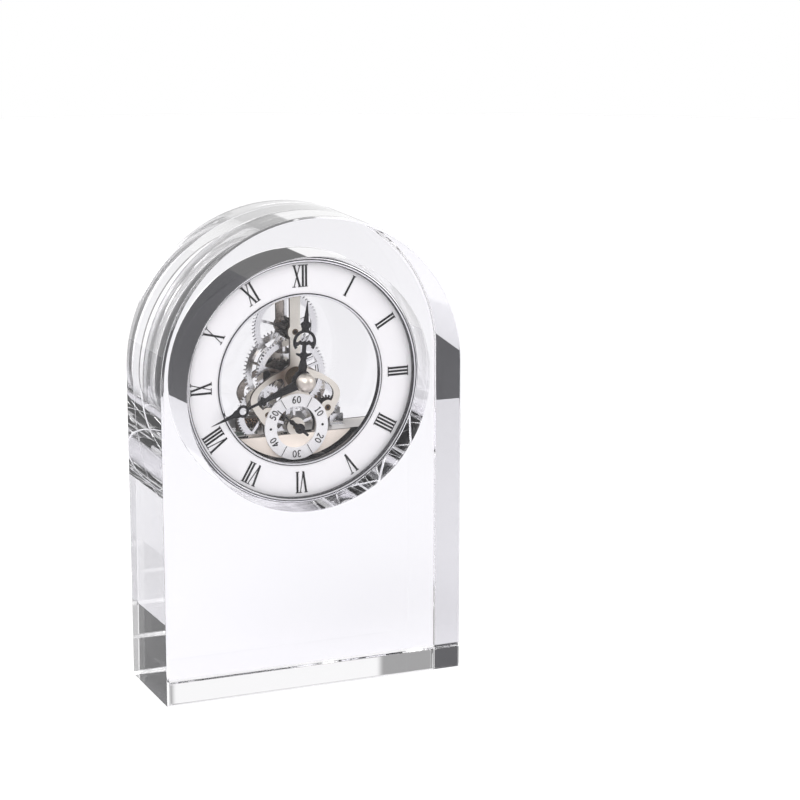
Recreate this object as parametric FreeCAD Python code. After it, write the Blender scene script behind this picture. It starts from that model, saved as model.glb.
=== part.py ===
import FreeCAD, Part
import math
import os

# Arched crystal shelf clock with a skeleton quartz movement.
# All lengths are millimetres and all angles are degrees.
# X runs to the right, Y away from the viewer, Z up. The origin is the centre of the block's underside.
# Depths are counted from the block's front face. Places on the dial are counted from the dial's centre.

# Crystal block
block_width = 115.0
block_depth = 40.2
arch_centre_height = 116.4
edge_chamfer = 0.75
dial_height = 112.3
front_wall = 6.8
bore_radius = 46.7

# Fits
running_clearance = 0.05
seat_clearance = 0.02
cut_overrun = 1.0

# Bezel, dial ring and window
bezel_depth = 13.9
bezel_outer_radius = 45.2
bezel_lip_radius = 43.2
bezel_lip_length = 2.5
bezel_skirt_length = 3.6
chapter_thickness = 0.8
chapter_radius = 44.4
rim_bore_radius = 30.8
rim_wall = 0.6
rim_flange = 1.0
rim_flange_thickness = 0.4
rim_length = 2.6

# Drum in the bore
drum_outer_radius = 44.6
drum_wall = 1.6
band_depth = 24.0
band_length = 6.0

# Printed hour numerals
print_thickness = 0.15
numeral_radius = 38.1
numeral_height = 8.0
numeral_stem = 0.75
numeral_hairline = 0.3
serif_thickness = 0.25
serif_overhang = 0.3
numeral_step = 1.25
numeral_wide_step = 3.3
numeral_spread = 1.15

# Movement plates
front_plate_depth = 21.6
front_plate_thickness = 1.2
rear_plate_depth = 35.6
rear_plate_thickness = 1.0
bar_width = 4.0
bar_reach = 40.5
wing_reach = 17.4
wing_drop = 15.2
hub_radius = 4.5
apron_drop = 21.2
apron_radius = 30.2
boss_radius = 2.8
seconds_boss_radius = 3.4
seconds_opening_radius = 8.4
bush_radius = 1.15
rear_bush_radius = 1.65
bush_pride = 0.15
pillar_rise = 36.8
pillar_radius = 1.6
pillar_tap_depth = 1.62
dial_post_radius = 1.6
dial_post_reach = 30.0
dial_post_drop = 26.6
post_cup_wall = 0.7
screw_radius = 0.78
screw_reach = 1.6
screw_head_radius = 1.3
screw_head_height = 0.7
screw_slot_width = 0.4
screw_slot_depth = 0.35

# Pivots, from the dial's centre
motion_pivot_rise = 16.7
seconds_pivot_drop = 18.4
third_pivot_left = 10.8
third_pivot_drop = 13.2
step_pivot_right = 12.5
step_pivot_drop = 12.5
rotor_pivot_reach = 8.3
rotor_pivot_angle = -45.0

# Arbors
centre_arbor_radius = 1.0
motion_arbor_radius = 0.7
third_arbor_radius = 0.6
step_arbor_radius = 0.6
seconds_arbor_radius = 0.5
rotor_arbor_radius = 0.3
hour_pipe_radius = 2.0
centre_bush_radius = 3.4
centre_collar_radius = 4.0
centre_collar_length = 0.7

# Wheels: teeth, where the wheel lies and how thick it is
wheel_rim = 2.0
wheel_hub_wall = 1.4
spoke_width = 1.0
spoke_count = 5
hour_wheel_teeth = 64
motion_pinion_teeth = 16
motion_wheel_teeth = 60
cannon_pinion_teeth = 20
centre_wheel_teeth = 64
third_pinion_teeth = 8
third_wheel_teeth = 60
seconds_pinion_teeth = 8
seconds_wheel_teeth = 50
step_pinion_teeth = 20
step_wheel_teeth = 72
rotor_pinion_teeth = 6
seconds_wheel_depth = 23.4
third_wheel_depth = 24.6
hour_wheel_depth = 26.2
step_wheel_depth = 29.6
motion_wheel_depth = 31.0
centre_wheel_depth = 33.2
thin_wheel = 0.6
thick_wheel = 0.9
pinion_overlap = 0.5
long_pinion_lead = 2.0

# Tooth form, as shares of the module or of the tooth pitch
wheel_addendum_share = 1.0
wheel_dedendum_share = 1.2
pinion_addendum_share = 0.8
pinion_dedendum_share = 1.35
wheel_root_share = 0.27
wheel_pitch_share = 0.19
wheel_tip_share = 0.05
pinion_root_share = 0.15
pinion_pitch_share = 0.15
pinion_tip_share = 0.08

# Hands
hand_thickness = 0.4
minute_hand_depth = 13.2
minute_hand_length = 37.9
minute_hand_angle = 249.5
minute_hub_radius = 3.0
minute_barb_width = 3.8
minute_eye_rise = 25.0
minute_eye_radius = 2.3
minute_eye_bore = 1.35
hour_hand_depth = 15.3
hour_hand_length = 29.3
hour_hand_angle = 4.9
hour_hub_radius = 3.8
hour_eye_rise = 14.2
hour_eye_radius = 4.4
hour_eye_band = 1.05
hour_eye_opening = 52.0
hour_cross_width = 6.1
seconds_hand_depth = 17.4
seconds_hand_length = 11.6
seconds_hand_angle = 311.3
seconds_hub_radius = 1.9
seconds_lobe_width = 1.8
nut_radius = 3.5
nut_centre_lead = 1.8
nut_thread_depth = 2.4

# Outlines of the hands: shares of half the widest width and of the length
minute_body_shares = [
    (0.97, 0.0), (0.97, 0.06), (0.42, 0.41), (1.0, 0.443), (0.42, 0.467), (0.25, 0.5), (0.25, 0.66),
]
minute_spear_shares = [(0.25, 0.64), (0.84, 0.715), (0.75, 0.735), (0.42, 0.765), (0.0, 1.0)]
hour_body_shares = [
    (0.43, 0.0), (0.43, 0.085), (0.54, 0.18), (0.33, 0.26), (0.45, 0.295), (0.95, 0.32), (1.0, 0.345),
    (0.45, 0.338), (0.25, 0.36), (0.25, 0.47),
]
hour_crown_shares = [
    (0.25, 0.44), (0.6, 0.452), (0.85, 0.432), (1.22, 0.432), (1.22, 0.49), (0.86, 0.478), (0.56, 0.505),
    (0.28, 0.485), (0.0, 0.497),
]
hour_spear_shares = [
    (0.5, 0.615), (0.45, 0.648), (0.58, 0.675), (0.66, 0.703), (0.56, 0.722), (0.32, 0.738), (0.2, 0.84),
    (0.0, 1.0),
]
seconds_hand_shares = [
    (0.5, -0.37), (0.6, -0.1), (0.72, 0.25), (1.0, 0.37), (0.5, 0.43), (0.36, 0.5), (0.2, 0.97), (0.0, 1.0),
]

# Outlines of a wing and of its window: shares of the wing's reach and drop
wing_shares = [
    (0.0, 0.36), (0.28, 0.18), (0.48, 0.09), (0.72, -0.07), (0.93, -0.28), (1.0, -0.48),
    (0.96, -0.68), (0.85, -0.88), (0.68, -1.12), (0.3, -1.0), (0.0, -0.6),
]
wing_window_shares = [
    (0.29, -0.03), (0.6, -0.13), (0.79, -0.3), (0.85, -0.46), (0.81, -0.64),
    (0.66, -0.76), (0.48, -0.66), (0.33, -0.5), (0.25, -0.28),
]

# Small seconds dial
seconds_dial_radius = 12.25
seconds_dial_bore = 7.8
seconds_dial_thickness = 0.8
seconds_numeral_radius = 10.1
digit_height = 2.6
digit_width = 1.5
digit_gap = 0.35
digit_stroke = 0.34
oval_points = 24
division_line_width = 0.18
division_dot_radius = 0.45

# Motor
magnet_radius = 2.0
magnet_length = 1.2
rotor_gap = 0.5
stator_depth = 34.4
stator_thickness = 0.8
stator_height = 4.4
stator_slot_width = 3.2
stator_slot_drop = 1.1
stator_reach = 22.6
stator_spacer_radius = 0.7
coil_radius = 2.2
coil_wire_radius = 0.28
coil_turns = 11
coil_length = 13.0
coil_centre_left = 11.5
coil_core_size = 1.6
coil_cheek = 0.8
cock_depth = 27.6
cock_thickness = 0.8
cock_half_width = 2.6
cock_foot = 1.6
cock_head = 1.6

# Circuit board
board_left = 28.0
board_width = 15.0
board_depth = 27.0
board_length = 2.6
board_thickness = 0.8
chip_size = 1.8
chip_height = 0.7
can_radius = 1.0
can_length = 6.0

# Battery box, cell and door
box_clearance = 0.1
box_wall = 0.8
gear_pocket_depth = 2.8
gear_pocket_left = 21.6
gear_pocket_right = 11.4
gear_pocket_drop = 8.6
cell_radius = 5.25
cell_length = 44.5
cell_tip_radius = 1.9
cell_tip_length = 0.8
cell_clearance = 0.15
contact_thickness = 0.3
collar_length = 1.6
door_thickness = 1.4
door_rib = 0.6
door_gap = 0.3
grip_rib_width = 0.6
grip_rib_spacing = 1.8
grip_rib_height = 0.4
grip_rib_count = 5

# Rear cover and knob
cover_thickness = 1.2
cover_lip = 1.0
cover_lip_wall = 1.4
cover_gap = 1.9
knob_radius = 8.0
knob_depth = 37.2
knob_thickness = 2.4
knob_gap = 0.6
knob_flutes = 24
knob_flute_radius = 0.45
spring_thickness = 0.3
collar_radius = 1.8
collar_thickness = 0.5

# Worked out from the values above
chapter_depth = bezel_depth + bezel_lip_length
chapter_back = chapter_depth + chapter_thickness
front_plate_back = front_plate_depth + front_plate_thickness
rear_plate_back = rear_plate_depth + rear_plate_thickness
drum_inner_radius = drum_outer_radius - drum_wall
drum_back = rear_plate_back + cover_gap
screw_hole_radius = screw_radius + seat_clearance
box_radius = drum_inner_radius - box_clearance
cell_half = cell_length / 2 + cell_tip_length
chamber_half_width = cell_half + cell_clearance + contact_thickness
chamber_half_height = cell_radius + cell_clearance
collar_half_width = chamber_half_width + box_wall
collar_bottom = -math.sqrt((box_radius - box_clearance) ** 2 - collar_half_width ** 2)
cell_height = collar_bottom + box_wall + chamber_half_height
collar_half_height = chamber_half_height + box_wall
chamber_depth = front_plate_back + gear_pocket_depth + box_wall
cell_depth = chamber_depth + cell_clearance + cell_radius
collar_back = rear_plate_back + collar_length - rear_plate_thickness

motion_pivot = (0, motion_pivot_rise)
seconds_pivot = (0, -seconds_pivot_drop)
third_pivot = (-third_pivot_left, -third_pivot_drop)
step_pivot = (step_pivot_right, -step_pivot_drop)
centre_pivot = (0, 0)
rotor_pivot = (
    step_pivot_right + rotor_pivot_reach * math.cos(math.radians(rotor_pivot_angle)),
    -step_pivot_drop + rotor_pivot_reach * math.sin(math.radians(rotor_pivot_angle)),
)


def place(x, z, depth):
    """Turn a place on the dial and a depth into a point of the model."""
    return FreeCAD.Vector(x, depth - block_depth / 2, dial_height + z)


def disc(radius, depth, length, centre=(0, 0)):
    """Cylinder along Y that starts at a depth."""
    return Part.makeCylinder(radius, length, place(centre[0], centre[1], depth), FreeCAD.Vector(0, 1, 0))


def tube(outer, inner, depth, length, centre=(0, 0)):
    """Ring along Y with a through bore."""
    bore = disc(inner, depth - cut_overrun, length + 2 * cut_overrun, centre)
    return disc(outer, depth, length, centre).cut(bore)


def prism(points, depth, thickness):
    """Flat plate from a closed outline of dial places."""
    corners = [place(x, z, depth) for x, z in points]
    face = Part.Face(Part.makePolygon(corners + corners[:1]))
    return face.extrude(FreeCAD.Vector(0, thickness, 0))


def smooth_prism(points, depth, thickness):
    """Flat plate from a closed smooth curve through dial places."""
    curve = Part.BSplineCurve()
    curve.interpolate([place(x, z, depth) for x, z in points], PeriodicFlag=True)
    face = Part.Face(Part.Wire(curve.toShape()))
    return face.extrude(FreeCAD.Vector(0, thickness, 0))


def block_outline(left, right, bottom, top):
    """Corners of an upright rectangle."""
    return [(left, bottom), (right, bottom), (right, top), (left, top)]


def slab(left, right, bottom, top, depth, thickness):
    """Rectangular plate between dial places."""
    return prism(block_outline(left, right, bottom, top), depth, thickness)


def mirrored(points):
    """The same outline on the left of the dial's centre."""
    return [(-x, z) for x, z in reversed(points)]


def scaled(shares, across, along):
    """Outline shares made into lengths."""
    return [(x * across, z * along) for x, z in shares]


def fused(shapes):
    """One solid from overlapping shapes."""
    shapes = list(shapes)
    whole = shapes[0].multiFuse(shapes[1:]) if len(shapes) > 1 else shapes[0]
    return whole.removeSplitter()


def group(shapes):
    """Separate solids kept together in one node."""
    return Part.makeCompound(list(shapes))


def clockwise(shape, angle, centre=(0, 0)):
    """Turn a shape about the dial's normal, clockwise as the viewer sees it."""
    turned = shape.copy()
    turned.rotate(place(centre[0], centre[1], 0), FreeCAD.Vector(0, 1, 0), angle)
    return turned


def arc_points(centre, radius_x, radius_z, start, end, steps):
    """Places along an elliptical arc, counter-clockwise from the right."""
    angles = [math.radians(start + (end - start) * i / steps) for i in range(steps + 1)]
    return [(centre[0] + radius_x * math.cos(a), centre[1] + radius_z * math.sin(a)) for a in angles]


def oval(centre, half_width, half_height):
    """Closed oval outline."""
    step = 360 / oval_points
    return arc_points(centre, half_width, half_height, 0, 360 - step, oval_points - 1)


def ribbon(path, width):
    """Outline of a stroke of even width along a path."""
    left, right = [], []
    for i, (x, z) in enumerate(path):
        before = path[max(i - 1, 0)]
        after = path[min(i + 1, len(path) - 1)]
        run, rise = after[0] - before[0], after[1] - before[1]
        size = math.hypot(run, rise)
        across = (-rise / size * width / 2, run / size * width / 2)
        left.append((x + across[0], z + across[1]))
        right.append((x - across[0], z - across[1]))
    return left + right[::-1]


def bearing(start, end):
    """Angle of the line between two pivots, counter-clockwise from the right."""
    return math.degrees(math.atan2(end[1] - start[1], end[0] - start[0]))


def mesh_module(start, end, first_teeth, second_teeth):
    """Module that makes two gears mesh on their pivots."""
    reach = math.hypot(end[0] - start[0], end[1] - start[1])
    return 2 * reach / (first_teeth + second_teeth)


def toothed_disc(centre, teeth, module, phase, depth, thickness, leaf):
    """Gear blank with one tooth centred at the phase angle; leaf picks the pinion form."""
    addendum = pinion_addendum_share if leaf else wheel_addendum_share
    dedendum = pinion_dedendum_share if leaf else wheel_dedendum_share
    root_half = pinion_root_share if leaf else wheel_root_share
    pitch_half = pinion_pitch_share if leaf else wheel_pitch_share
    tip_half = pinion_tip_share if leaf else wheel_tip_share
    pitch_radius = teeth * module / 2
    levels = [
        (pitch_radius - dedendum * module, root_half),
        (pitch_radius, pitch_half),
        (pitch_radius + addendum * module, tip_half),
    ]
    pitch_angle = 360 / teeth
    outline = []
    for tooth in range(teeth):
        middle = phase + tooth * pitch_angle
        flank = [(radius, middle - half * pitch_angle) for radius, half in levels]
        other = [(radius, middle + half * pitch_angle) for radius, half in reversed(levels)]
        for radius, angle in flank + other:
            turn = math.radians(angle)
            outline.append((centre[0] + radius * math.cos(turn), centre[1] + radius * math.sin(turn)))
    return prism(outline, depth, thickness)


def spoked_wheel(centre, teeth, module, phase, depth, thickness, bore):
    """Toothed wheel with a rim, straight spokes, a hub and a bore."""
    root = teeth * module / 2 - wheel_dedendum_share * module
    hub = bore + wheel_hub_wall
    rim_inner = root - wheel_rim
    blank = toothed_disc(centre, teeth, module, phase, depth, thickness, False)
    opening = tube(rim_inner, hub, depth - cut_overrun, thickness + 2 * cut_overrun, centre)
    for spoke in range(spoke_count):
        arm = slab(
            centre[0] - spoke_width / 2, centre[0] + spoke_width / 2,
            centre[1] + bore, centre[1] + root,
            depth - 2 * cut_overrun, thickness + 4 * cut_overrun,
        )
        opening = opening.cut(clockwise(arm, 360 / spoke_count * spoke, centre))
    hole = disc(bore, depth - cut_overrun, thickness + 2 * cut_overrun, centre)
    return blank.cut(opening).cut(hole)


def crystal_body():
    """Arched block with polished edges and a blind bore from the back."""
    half = block_width / 2
    front = -block_depth / 2
    foot_left = FreeCAD.Vector(-half, front, 0)
    foot_right = FreeCAD.Vector(half, front, 0)
    spring_right = FreeCAD.Vector(half, front, arch_centre_height)
    spring_left = FreeCAD.Vector(-half, front, arch_centre_height)
    crown = FreeCAD.Vector(0, front, arch_centre_height + half)
    outline = Part.Wire([
        Part.LineSegment(foot_left, foot_right).toShape(),
        Part.LineSegment(foot_right, spring_right).toShape(),
        Part.Arc(spring_right, crown, spring_left).toShape(),
        Part.LineSegment(spring_left, foot_left).toShape(),
    ])
    block = Part.Face(outline).extrude(FreeCAD.Vector(0, block_depth, 0))
    block = block.makeChamfer(edge_chamfer, block.Edges)
    return block.cut(disc(bore_radius, front_wall, block_depth))


def module_drum():
    """Clear tube that carries the dial, the movement and the rear cover."""
    return tube(drum_outer_radius, drum_inner_radius, chapter_back, drum_back - chapter_back)


def grip_band():
    """Soft band that holds the drum in the bore."""
    return tube(bore_radius - seat_clearance, drum_outer_radius + seat_clearance, band_depth, band_length)


def bezel_ring():
    """Lip in front of the dial ring and a thin skirt over the drum."""
    lip = tube(bezel_outer_radius, bezel_lip_radius, bezel_depth, bezel_lip_length)
    skirt = tube(bezel_outer_radius, drum_outer_radius + seat_clearance, chapter_depth, bezel_skirt_length)
    return fused([lip, skirt])


def chapter_ring():
    """Dial ring, flat, with the hole that the window's rim sits in."""
    seat_radius = rim_bore_radius + rim_wall + seat_clearance
    return tube(chapter_radius, seat_radius, chapter_depth, chapter_thickness)


def window_rim():
    """Flanged rim of the window."""
    start = chapter_depth - rim_flange_thickness
    flange = tube(rim_bore_radius + rim_flange, rim_bore_radius, start, rim_flange_thickness)
    sleeve = tube(rim_bore_radius + rim_wall, rim_bore_radius, start, rim_length)
    return fused([flange, sleeve])


def stem_strokes(middle):
    """Upright stroke of a Roman numeral with its two serifs."""
    return slant_strokes(middle, middle, numeral_stem, True)


def slant_strokes(top, bottom, width, foot_serif):
    """Slanting stroke with a serif at its top and, when asked, at its foot."""
    half = numeral_height / 2
    wide = numeral_stem / 2 + serif_overhang
    reach = width / 2
    stroke = [(bottom - reach, -half), (bottom + reach, -half), (top + reach, half), (top - reach, half)]
    strokes = [stroke, block_outline(top - wide, top + wide, half - serif_thickness, half)]
    if foot_serif:
        strokes.append(block_outline(bottom - wide, bottom + wide, -half, serif_thickness - half))
    return strokes


def numeral(text, hour):
    """One Roman numeral, standing upright on the dial's radius."""
    steps = {"I": numeral_step, "V": numeral_wide_step, "X": numeral_wide_step}
    cursor = -sum(steps[letter] for letter in text) / 2
    strokes = []
    for letter in text:
        middle = cursor + steps[letter] / 2
        if letter == "I":
            strokes += stem_strokes(middle)
        elif letter == "V":
            strokes += slant_strokes(middle - numeral_spread, middle, numeral_stem, False)
            strokes += slant_strokes(middle + numeral_spread, middle, numeral_hairline, False)
        else:
            strokes += slant_strokes(middle - numeral_spread, middle + numeral_spread, numeral_stem, True)
            low, high = middle - numeral_spread, middle + numeral_spread
            strokes += slant_strokes(high, low, numeral_hairline, True)
        cursor += steps[letter]
    raised = [[(x, z + numeral_radius) for x, z in stroke] for stroke in strokes]
    plates = [prism(stroke, chapter_depth - print_thickness, print_thickness) for stroke in raised]
    return clockwise(fused(plates), 360 / 12 * hour)


def hour_numerals():
    """Twelve numerals, their feet towards the centre."""
    names = ["XII", "I", "II", "III", "IIII", "V", "VI", "VII", "VIII", "IX", "X", "XI"]
    return group(solid for hour, name in enumerate(names) for solid in numeral(name, hour).Solids)


def wing_plate(depth, thickness):
    """Bar, hub and two wings with their windows, shared by both plates."""
    outer = scaled(wing_shares, wing_reach, wing_drop)
    window = scaled(wing_window_shares, wing_reach, wing_drop)
    start = depth - cut_overrun
    drill = thickness + 2 * cut_overrun
    solids = [
        slab(-bar_width / 2, bar_width / 2, 0, bar_reach, depth, thickness),
        disc(hub_radius, depth, thickness),
        smooth_prism(outer, depth, thickness),
        smooth_prism(mirrored(outer), depth, thickness),
        disc(boss_radius, depth, thickness, motion_pivot),
        disc(boss_radius, depth, thickness, third_pivot),
        disc(boss_radius, depth, thickness, step_pivot),
        disc(seconds_dial_radius, depth, thickness, seconds_pivot),
    ]
    plate = fused(solids)
    kept = [(hub_radius, centre_pivot), (boss_radius, third_pivot), (boss_radius, step_pivot)]
    for outline in (window, mirrored(window)):
        opening = smooth_prism(outline, start, drill)
        for radius, pivot in kept:
            opening = opening.cut(disc(radius, start - cut_overrun, drill + 2 * cut_overrun, pivot))
        plate = plate.cut(opening)
    plate = plate.cut(disc(seconds_opening_radius, start, drill, seconds_pivot))
    return plate.cut(slab(-block_width, block_width, -block_width, -apron_drop, start, drill))


def apron(radius, depth, thickness):
    """Segment of a disc below the movement with the boss of the seconds pivot on its edge."""
    start = depth - cut_overrun
    above = slab(-block_width, block_width, -apron_drop, block_width, start, thickness + 2 * cut_overrun)
    segment = disc(radius, depth, thickness).cut(above)
    boss = disc(seconds_boss_radius, depth, thickness, seconds_pivot)
    return fused([segment, boss])


def front_bush_places():
    """Pivots that have a bush in the front plate, with the radius of the arbor there."""
    return [
        (motion_pivot, motion_arbor_radius),
        (third_pivot, third_arbor_radius),
        (step_pivot, step_arbor_radius),
        (seconds_pivot, seconds_arbor_radius),
    ]


def rear_bush_places():
    """Pivots that have a bush in the rear plate."""
    return front_bush_places() + [(rotor_pivot, rotor_arbor_radius), (centre_pivot, centre_arbor_radius)]


def front_bridge():
    """Front plate with its bar, wings and apron, drilled for the bushes."""
    plate = fused([
        wing_plate(front_plate_depth, front_plate_thickness),
        apron(apron_radius, front_plate_depth, front_plate_thickness),
    ])
    drill = 2 * cut_overrun + front_plate_thickness
    start = front_plate_depth - cut_overrun
    for pivot, _ in front_bush_places():
        plate = plate.cut(disc(bush_radius, start, drill, pivot))
    plate = plate.cut(disc(centre_bush_radius, start, drill))
    return plate.cut(disc(screw_hole_radius, start, drill, (0, pillar_rise)))


def rear_bridge():
    """Rear plate with two ears behind the stator and a notch for the collar of the battery box."""
    ear_top = rotor_pivot[1] + stator_height / 2
    ear_foot = -apron_drop - stator_height / 2
    inner = rotor_pivot[0] - boss_radius
    ears = [
        slab(left, right, ear_foot, ear_top, rear_plate_depth, rear_plate_thickness)
        for left, right in ((inner, stator_reach), (-stator_reach, -inner))
    ]
    plate = fused([
        wing_plate(rear_plate_depth, rear_plate_thickness),
        apron(box_radius, rear_plate_depth, rear_plate_thickness),
    ] + ears)
    drill = 2 * cut_overrun + rear_plate_thickness
    start = rear_plate_depth - cut_overrun
    for pivot, _ in rear_bush_places():
        plate = plate.cut(disc(rear_bush_radius, start, drill, pivot))
    notch = slab(
        -collar_half_width - box_clearance, collar_half_width + box_clearance,
        -block_width, cell_height + collar_half_height + box_clearance, start, drill,
    )
    plate = plate.cut(notch)
    for centre in rear_screw_places():
        plate = plate.cut(disc(screw_hole_radius, start, drill, centre))
    return plate


def rear_screw_places():
    """Screws of the rear plate: one in the pillar, two in the battery box."""
    return [
        (0, pillar_rise),
        (-dial_post_reach, -dial_post_drop),
        (dial_post_reach, -dial_post_drop),
    ]


def screw(centre, plate_face, plate_thickness, side):
    """Slotted screw whose head lies on a plate; side is 1 when it points backwards and -1 forwards."""
    shank_length = plate_thickness + screw_reach
    head_start = plate_face - screw_head_height if side > 0 else plate_face
    shank_start = plate_face if side > 0 else plate_face - shank_length
    slot_start = plate_face - side * screw_head_height - screw_slot_depth
    slot_reach = screw_head_radius + cut_overrun
    slot = slab(
        centre[0] - slot_reach, centre[0] + slot_reach,
        centre[1] - screw_slot_width / 2, centre[1] + screw_slot_width / 2,
        slot_start, 2 * screw_slot_depth,
    )
    head = disc(screw_head_radius, head_start, screw_head_height, centre)
    shank = disc(screw_radius, shank_start, shank_length, centre)
    return fused([head, shank]).cut(slot)


def bridge_screws():
    """Screws that clamp the plates to the pillar and to the battery box."""
    screws = [screw((0, pillar_rise), front_plate_depth, front_plate_thickness, 1)]
    for centre in rear_screw_places():
        screws.append(screw(centre, rear_plate_back, rear_plate_thickness, -1))
    return group(screws)


def top_pillar():
    """Spacer between the plates with a threaded hole at each end."""
    pillar = disc(pillar_radius, front_plate_back, rear_plate_depth - front_plate_back, (0, pillar_rise))
    for start in (front_plate_back - cut_overrun, rear_plate_depth - pillar_tap_depth):
        tapped = disc(screw_hole_radius, start, pillar_tap_depth + cut_overrun, (0, pillar_rise))
        pillar = pillar.cut(tapped)
    return pillar


def dial_posts():
    """Posts from the dial ring: one cupped over the top screw, two against the battery box."""
    top = (0, pillar_rise)
    head_face = front_plate_depth - screw_head_height
    stem = disc(dial_post_radius, chapter_back, head_face - chapter_back, top)
    cup_bore = screw_head_radius + seat_clearance
    cup = tube(cup_bore + post_cup_wall, cup_bore, head_face, screw_head_height, top)
    lid = disc(cup_bore + post_cup_wall, head_face - post_cup_wall, post_cup_wall, top)
    lower = [
        disc(dial_post_radius, chapter_back, front_plate_back - chapter_back, centre)
        for centre in rear_screw_places()[1:]
    ]
    return group([fused([stem, cup, lid])] + lower)


def front_bushes():
    """Bushes of the four front pivots, a little proud of the plate except under the small dial."""
    bushes = []
    for pivot, arbor in front_bush_places():
        pride = 0 if pivot == third_pivot else bush_pride
        bushes.append(tube(bush_radius, arbor + running_clearance, front_plate_depth - pride,
                           front_plate_thickness + pride, pivot))
    return group(bushes)


def rear_bushes():
    """Bushes of the rear pivots."""
    return group(
        tube(rear_bush_radius, arbor + running_clearance, rear_plate_depth, rear_plate_thickness, pivot)
        for pivot, arbor in rear_bush_places()
    )


def centre_bush():
    """Collared bush that the hour pipe turns in."""
    bore = hour_pipe_radius + running_clearance
    body = tube(centre_bush_radius, bore, front_plate_depth, front_plate_thickness)
    collar_start = front_plate_depth - centre_collar_length
    collar = tube(centre_collar_radius, bore, collar_start, centre_collar_length)
    return fused([body, collar])


def seconds_dial():
    """Small ring dial on the front plate."""
    return tube(seconds_dial_radius, seconds_dial_bore, front_plate_depth - seconds_dial_thickness,
                seconds_dial_thickness, seconds_pivot)


def digit_loops(digit):
    """Closed ovals of a digit as middle and half sizes, in shares of the cell."""
    loop_shares = {"0": [(0.5, 0.5, 0.4, 0.45)], "6": [(0.5, 0.3, 0.36, 0.25)]}
    return loop_shares.get(digit, [])


def digit_paths(digit):
    """Open strokes of a digit in a cell one wide and one high, as shares of the cell."""
    stroke_shares = {
        "0": [],
        "1": [[(0.28, 0.78), (0.55, 0.97)], [(0.55, 1.0), (0.55, 0.0)], [(0.3, 0.04), (0.8, 0.04)]],
        "2": [arc_points((0.5, 0.72), 0.37, 0.24, 165, -30, 10) + [(0.15, 0.06)],
              [(0.1, 0.06), (0.9, 0.06)]],
        "3": [arc_points((0.47, 0.74), 0.34, 0.22, 150, -80, 10),
              arc_points((0.47, 0.28), 0.38, 0.24, 80, -150, 10)],
        "4": [[(0.68, 0.0), (0.68, 1.0)], [(0.68, 0.95), (0.1, 0.32)], [(0.05, 0.32), (0.95, 0.32)]],
        "5": [[(0.85, 0.95), (0.25, 0.95)], [(0.27, 0.97), (0.22, 0.52)],
              arc_points((0.45, 0.32), 0.4, 0.27, 125, -145, 12)],
        "6": [arc_points((0.83, 0.3), 0.69, 0.67, 90, 175, 8)],
    }
    return stroke_shares[digit]


def seconds_number(text, angle):
    """Number on the small dial, its foot towards the seconds pivot."""
    width = len(text) * digit_width + (len(text) - 1) * digit_gap
    foot = seconds_pivot[1] + seconds_numeral_radius - digit_height / 2
    solids = []
    for index, digit in enumerate(text):
        left = index * (digit_width + digit_gap) - width / 2
        strokes = []
        for path in digit_paths(digit):
            line = [(left + x * digit_width, foot + z * digit_height) for x, z in path]
            strokes.append(print_on_seconds_dial(ribbon(line, digit_stroke)))
        for x, z, half_width, half_height in digit_loops(digit):
            middle = (left + x * digit_width, foot + z * digit_height)
            outer, inner = [
                oval(middle, half_width * digit_width + grow, half_height * digit_height + grow)
                for grow in (digit_stroke / 2, -digit_stroke / 2)
            ]
            strokes.append(print_on_seconds_dial(outer).cut(print_on_seconds_dial(inner)))
        solids.append(clockwise(fused(strokes), angle, seconds_pivot))
    return solids


def print_on_seconds_dial(outline):
    """Thin printed shape on the face of the small dial."""
    return prism(outline, front_plate_depth - seconds_dial_thickness - print_thickness, print_thickness)


def seconds_numerals():
    """Six numbers, division lines between them and a dot at each quarter."""
    solids = []
    face = front_plate_depth - seconds_dial_thickness - print_thickness
    for index, text in enumerate(["60", "10", "20", "30", "40", "50"]):
        solids += seconds_number(text, 360 / 6 * index)
    line = slab(
        -division_line_width / 2, division_line_width / 2,
        seconds_pivot[1] + seconds_dial_bore + division_line_width,
        seconds_pivot[1] + seconds_dial_radius - division_line_width,
        face, print_thickness,
    )
    solids += [clockwise(line, 360 / 12 * step, seconds_pivot) for step in (1, 5, 7, 11)]
    dot = disc(division_dot_radius, face, print_thickness, (0, seconds_pivot[1] + seconds_numeral_radius))
    solids += [clockwise(dot, 360 / 4 * step, seconds_pivot) for step in (1, 3)]
    return group(solids)


def hand_plate(shares, half_width, length, depth, centre=(0, 0)):
    """Flat piece of a hand from one side of its outline, the last point on its middle line."""
    side = [(x + centre[0], z + centre[1]) for x, z in scaled(shares, half_width, length)]
    other = [(2 * centre[0] - x, z) for x, z in reversed(side)]
    if side[-1][0] == centre[0]:
        other = other[1:]
    return prism(side + other, depth, hand_thickness)


def drilled(hand, radius, depth, centre=(0, 0)):
    """Hand with a round hole through it."""
    return hand.cut(disc(radius, depth - cut_overrun, hand_thickness + 2 * cut_overrun, centre))


def minute_hand():
    """Long pierced hand: tapering body, barbs, thin neck, eye and spear."""
    half = minute_barb_width / 2
    eye = (0, minute_eye_rise)
    hand = fused([
        disc(minute_hub_radius, minute_hand_depth, hand_thickness),
        hand_plate(minute_body_shares, half, minute_hand_length, minute_hand_depth),
        hand_plate(minute_spear_shares, half, minute_hand_length, minute_hand_depth),
        disc(minute_eye_radius, minute_hand_depth, hand_thickness, eye),
    ])
    hand = drilled(hand, minute_eye_bore, minute_hand_depth, eye)
    hand = drilled(hand, centre_arbor_radius, minute_hand_depth)
    return clockwise(hand, minute_hand_angle)


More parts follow.
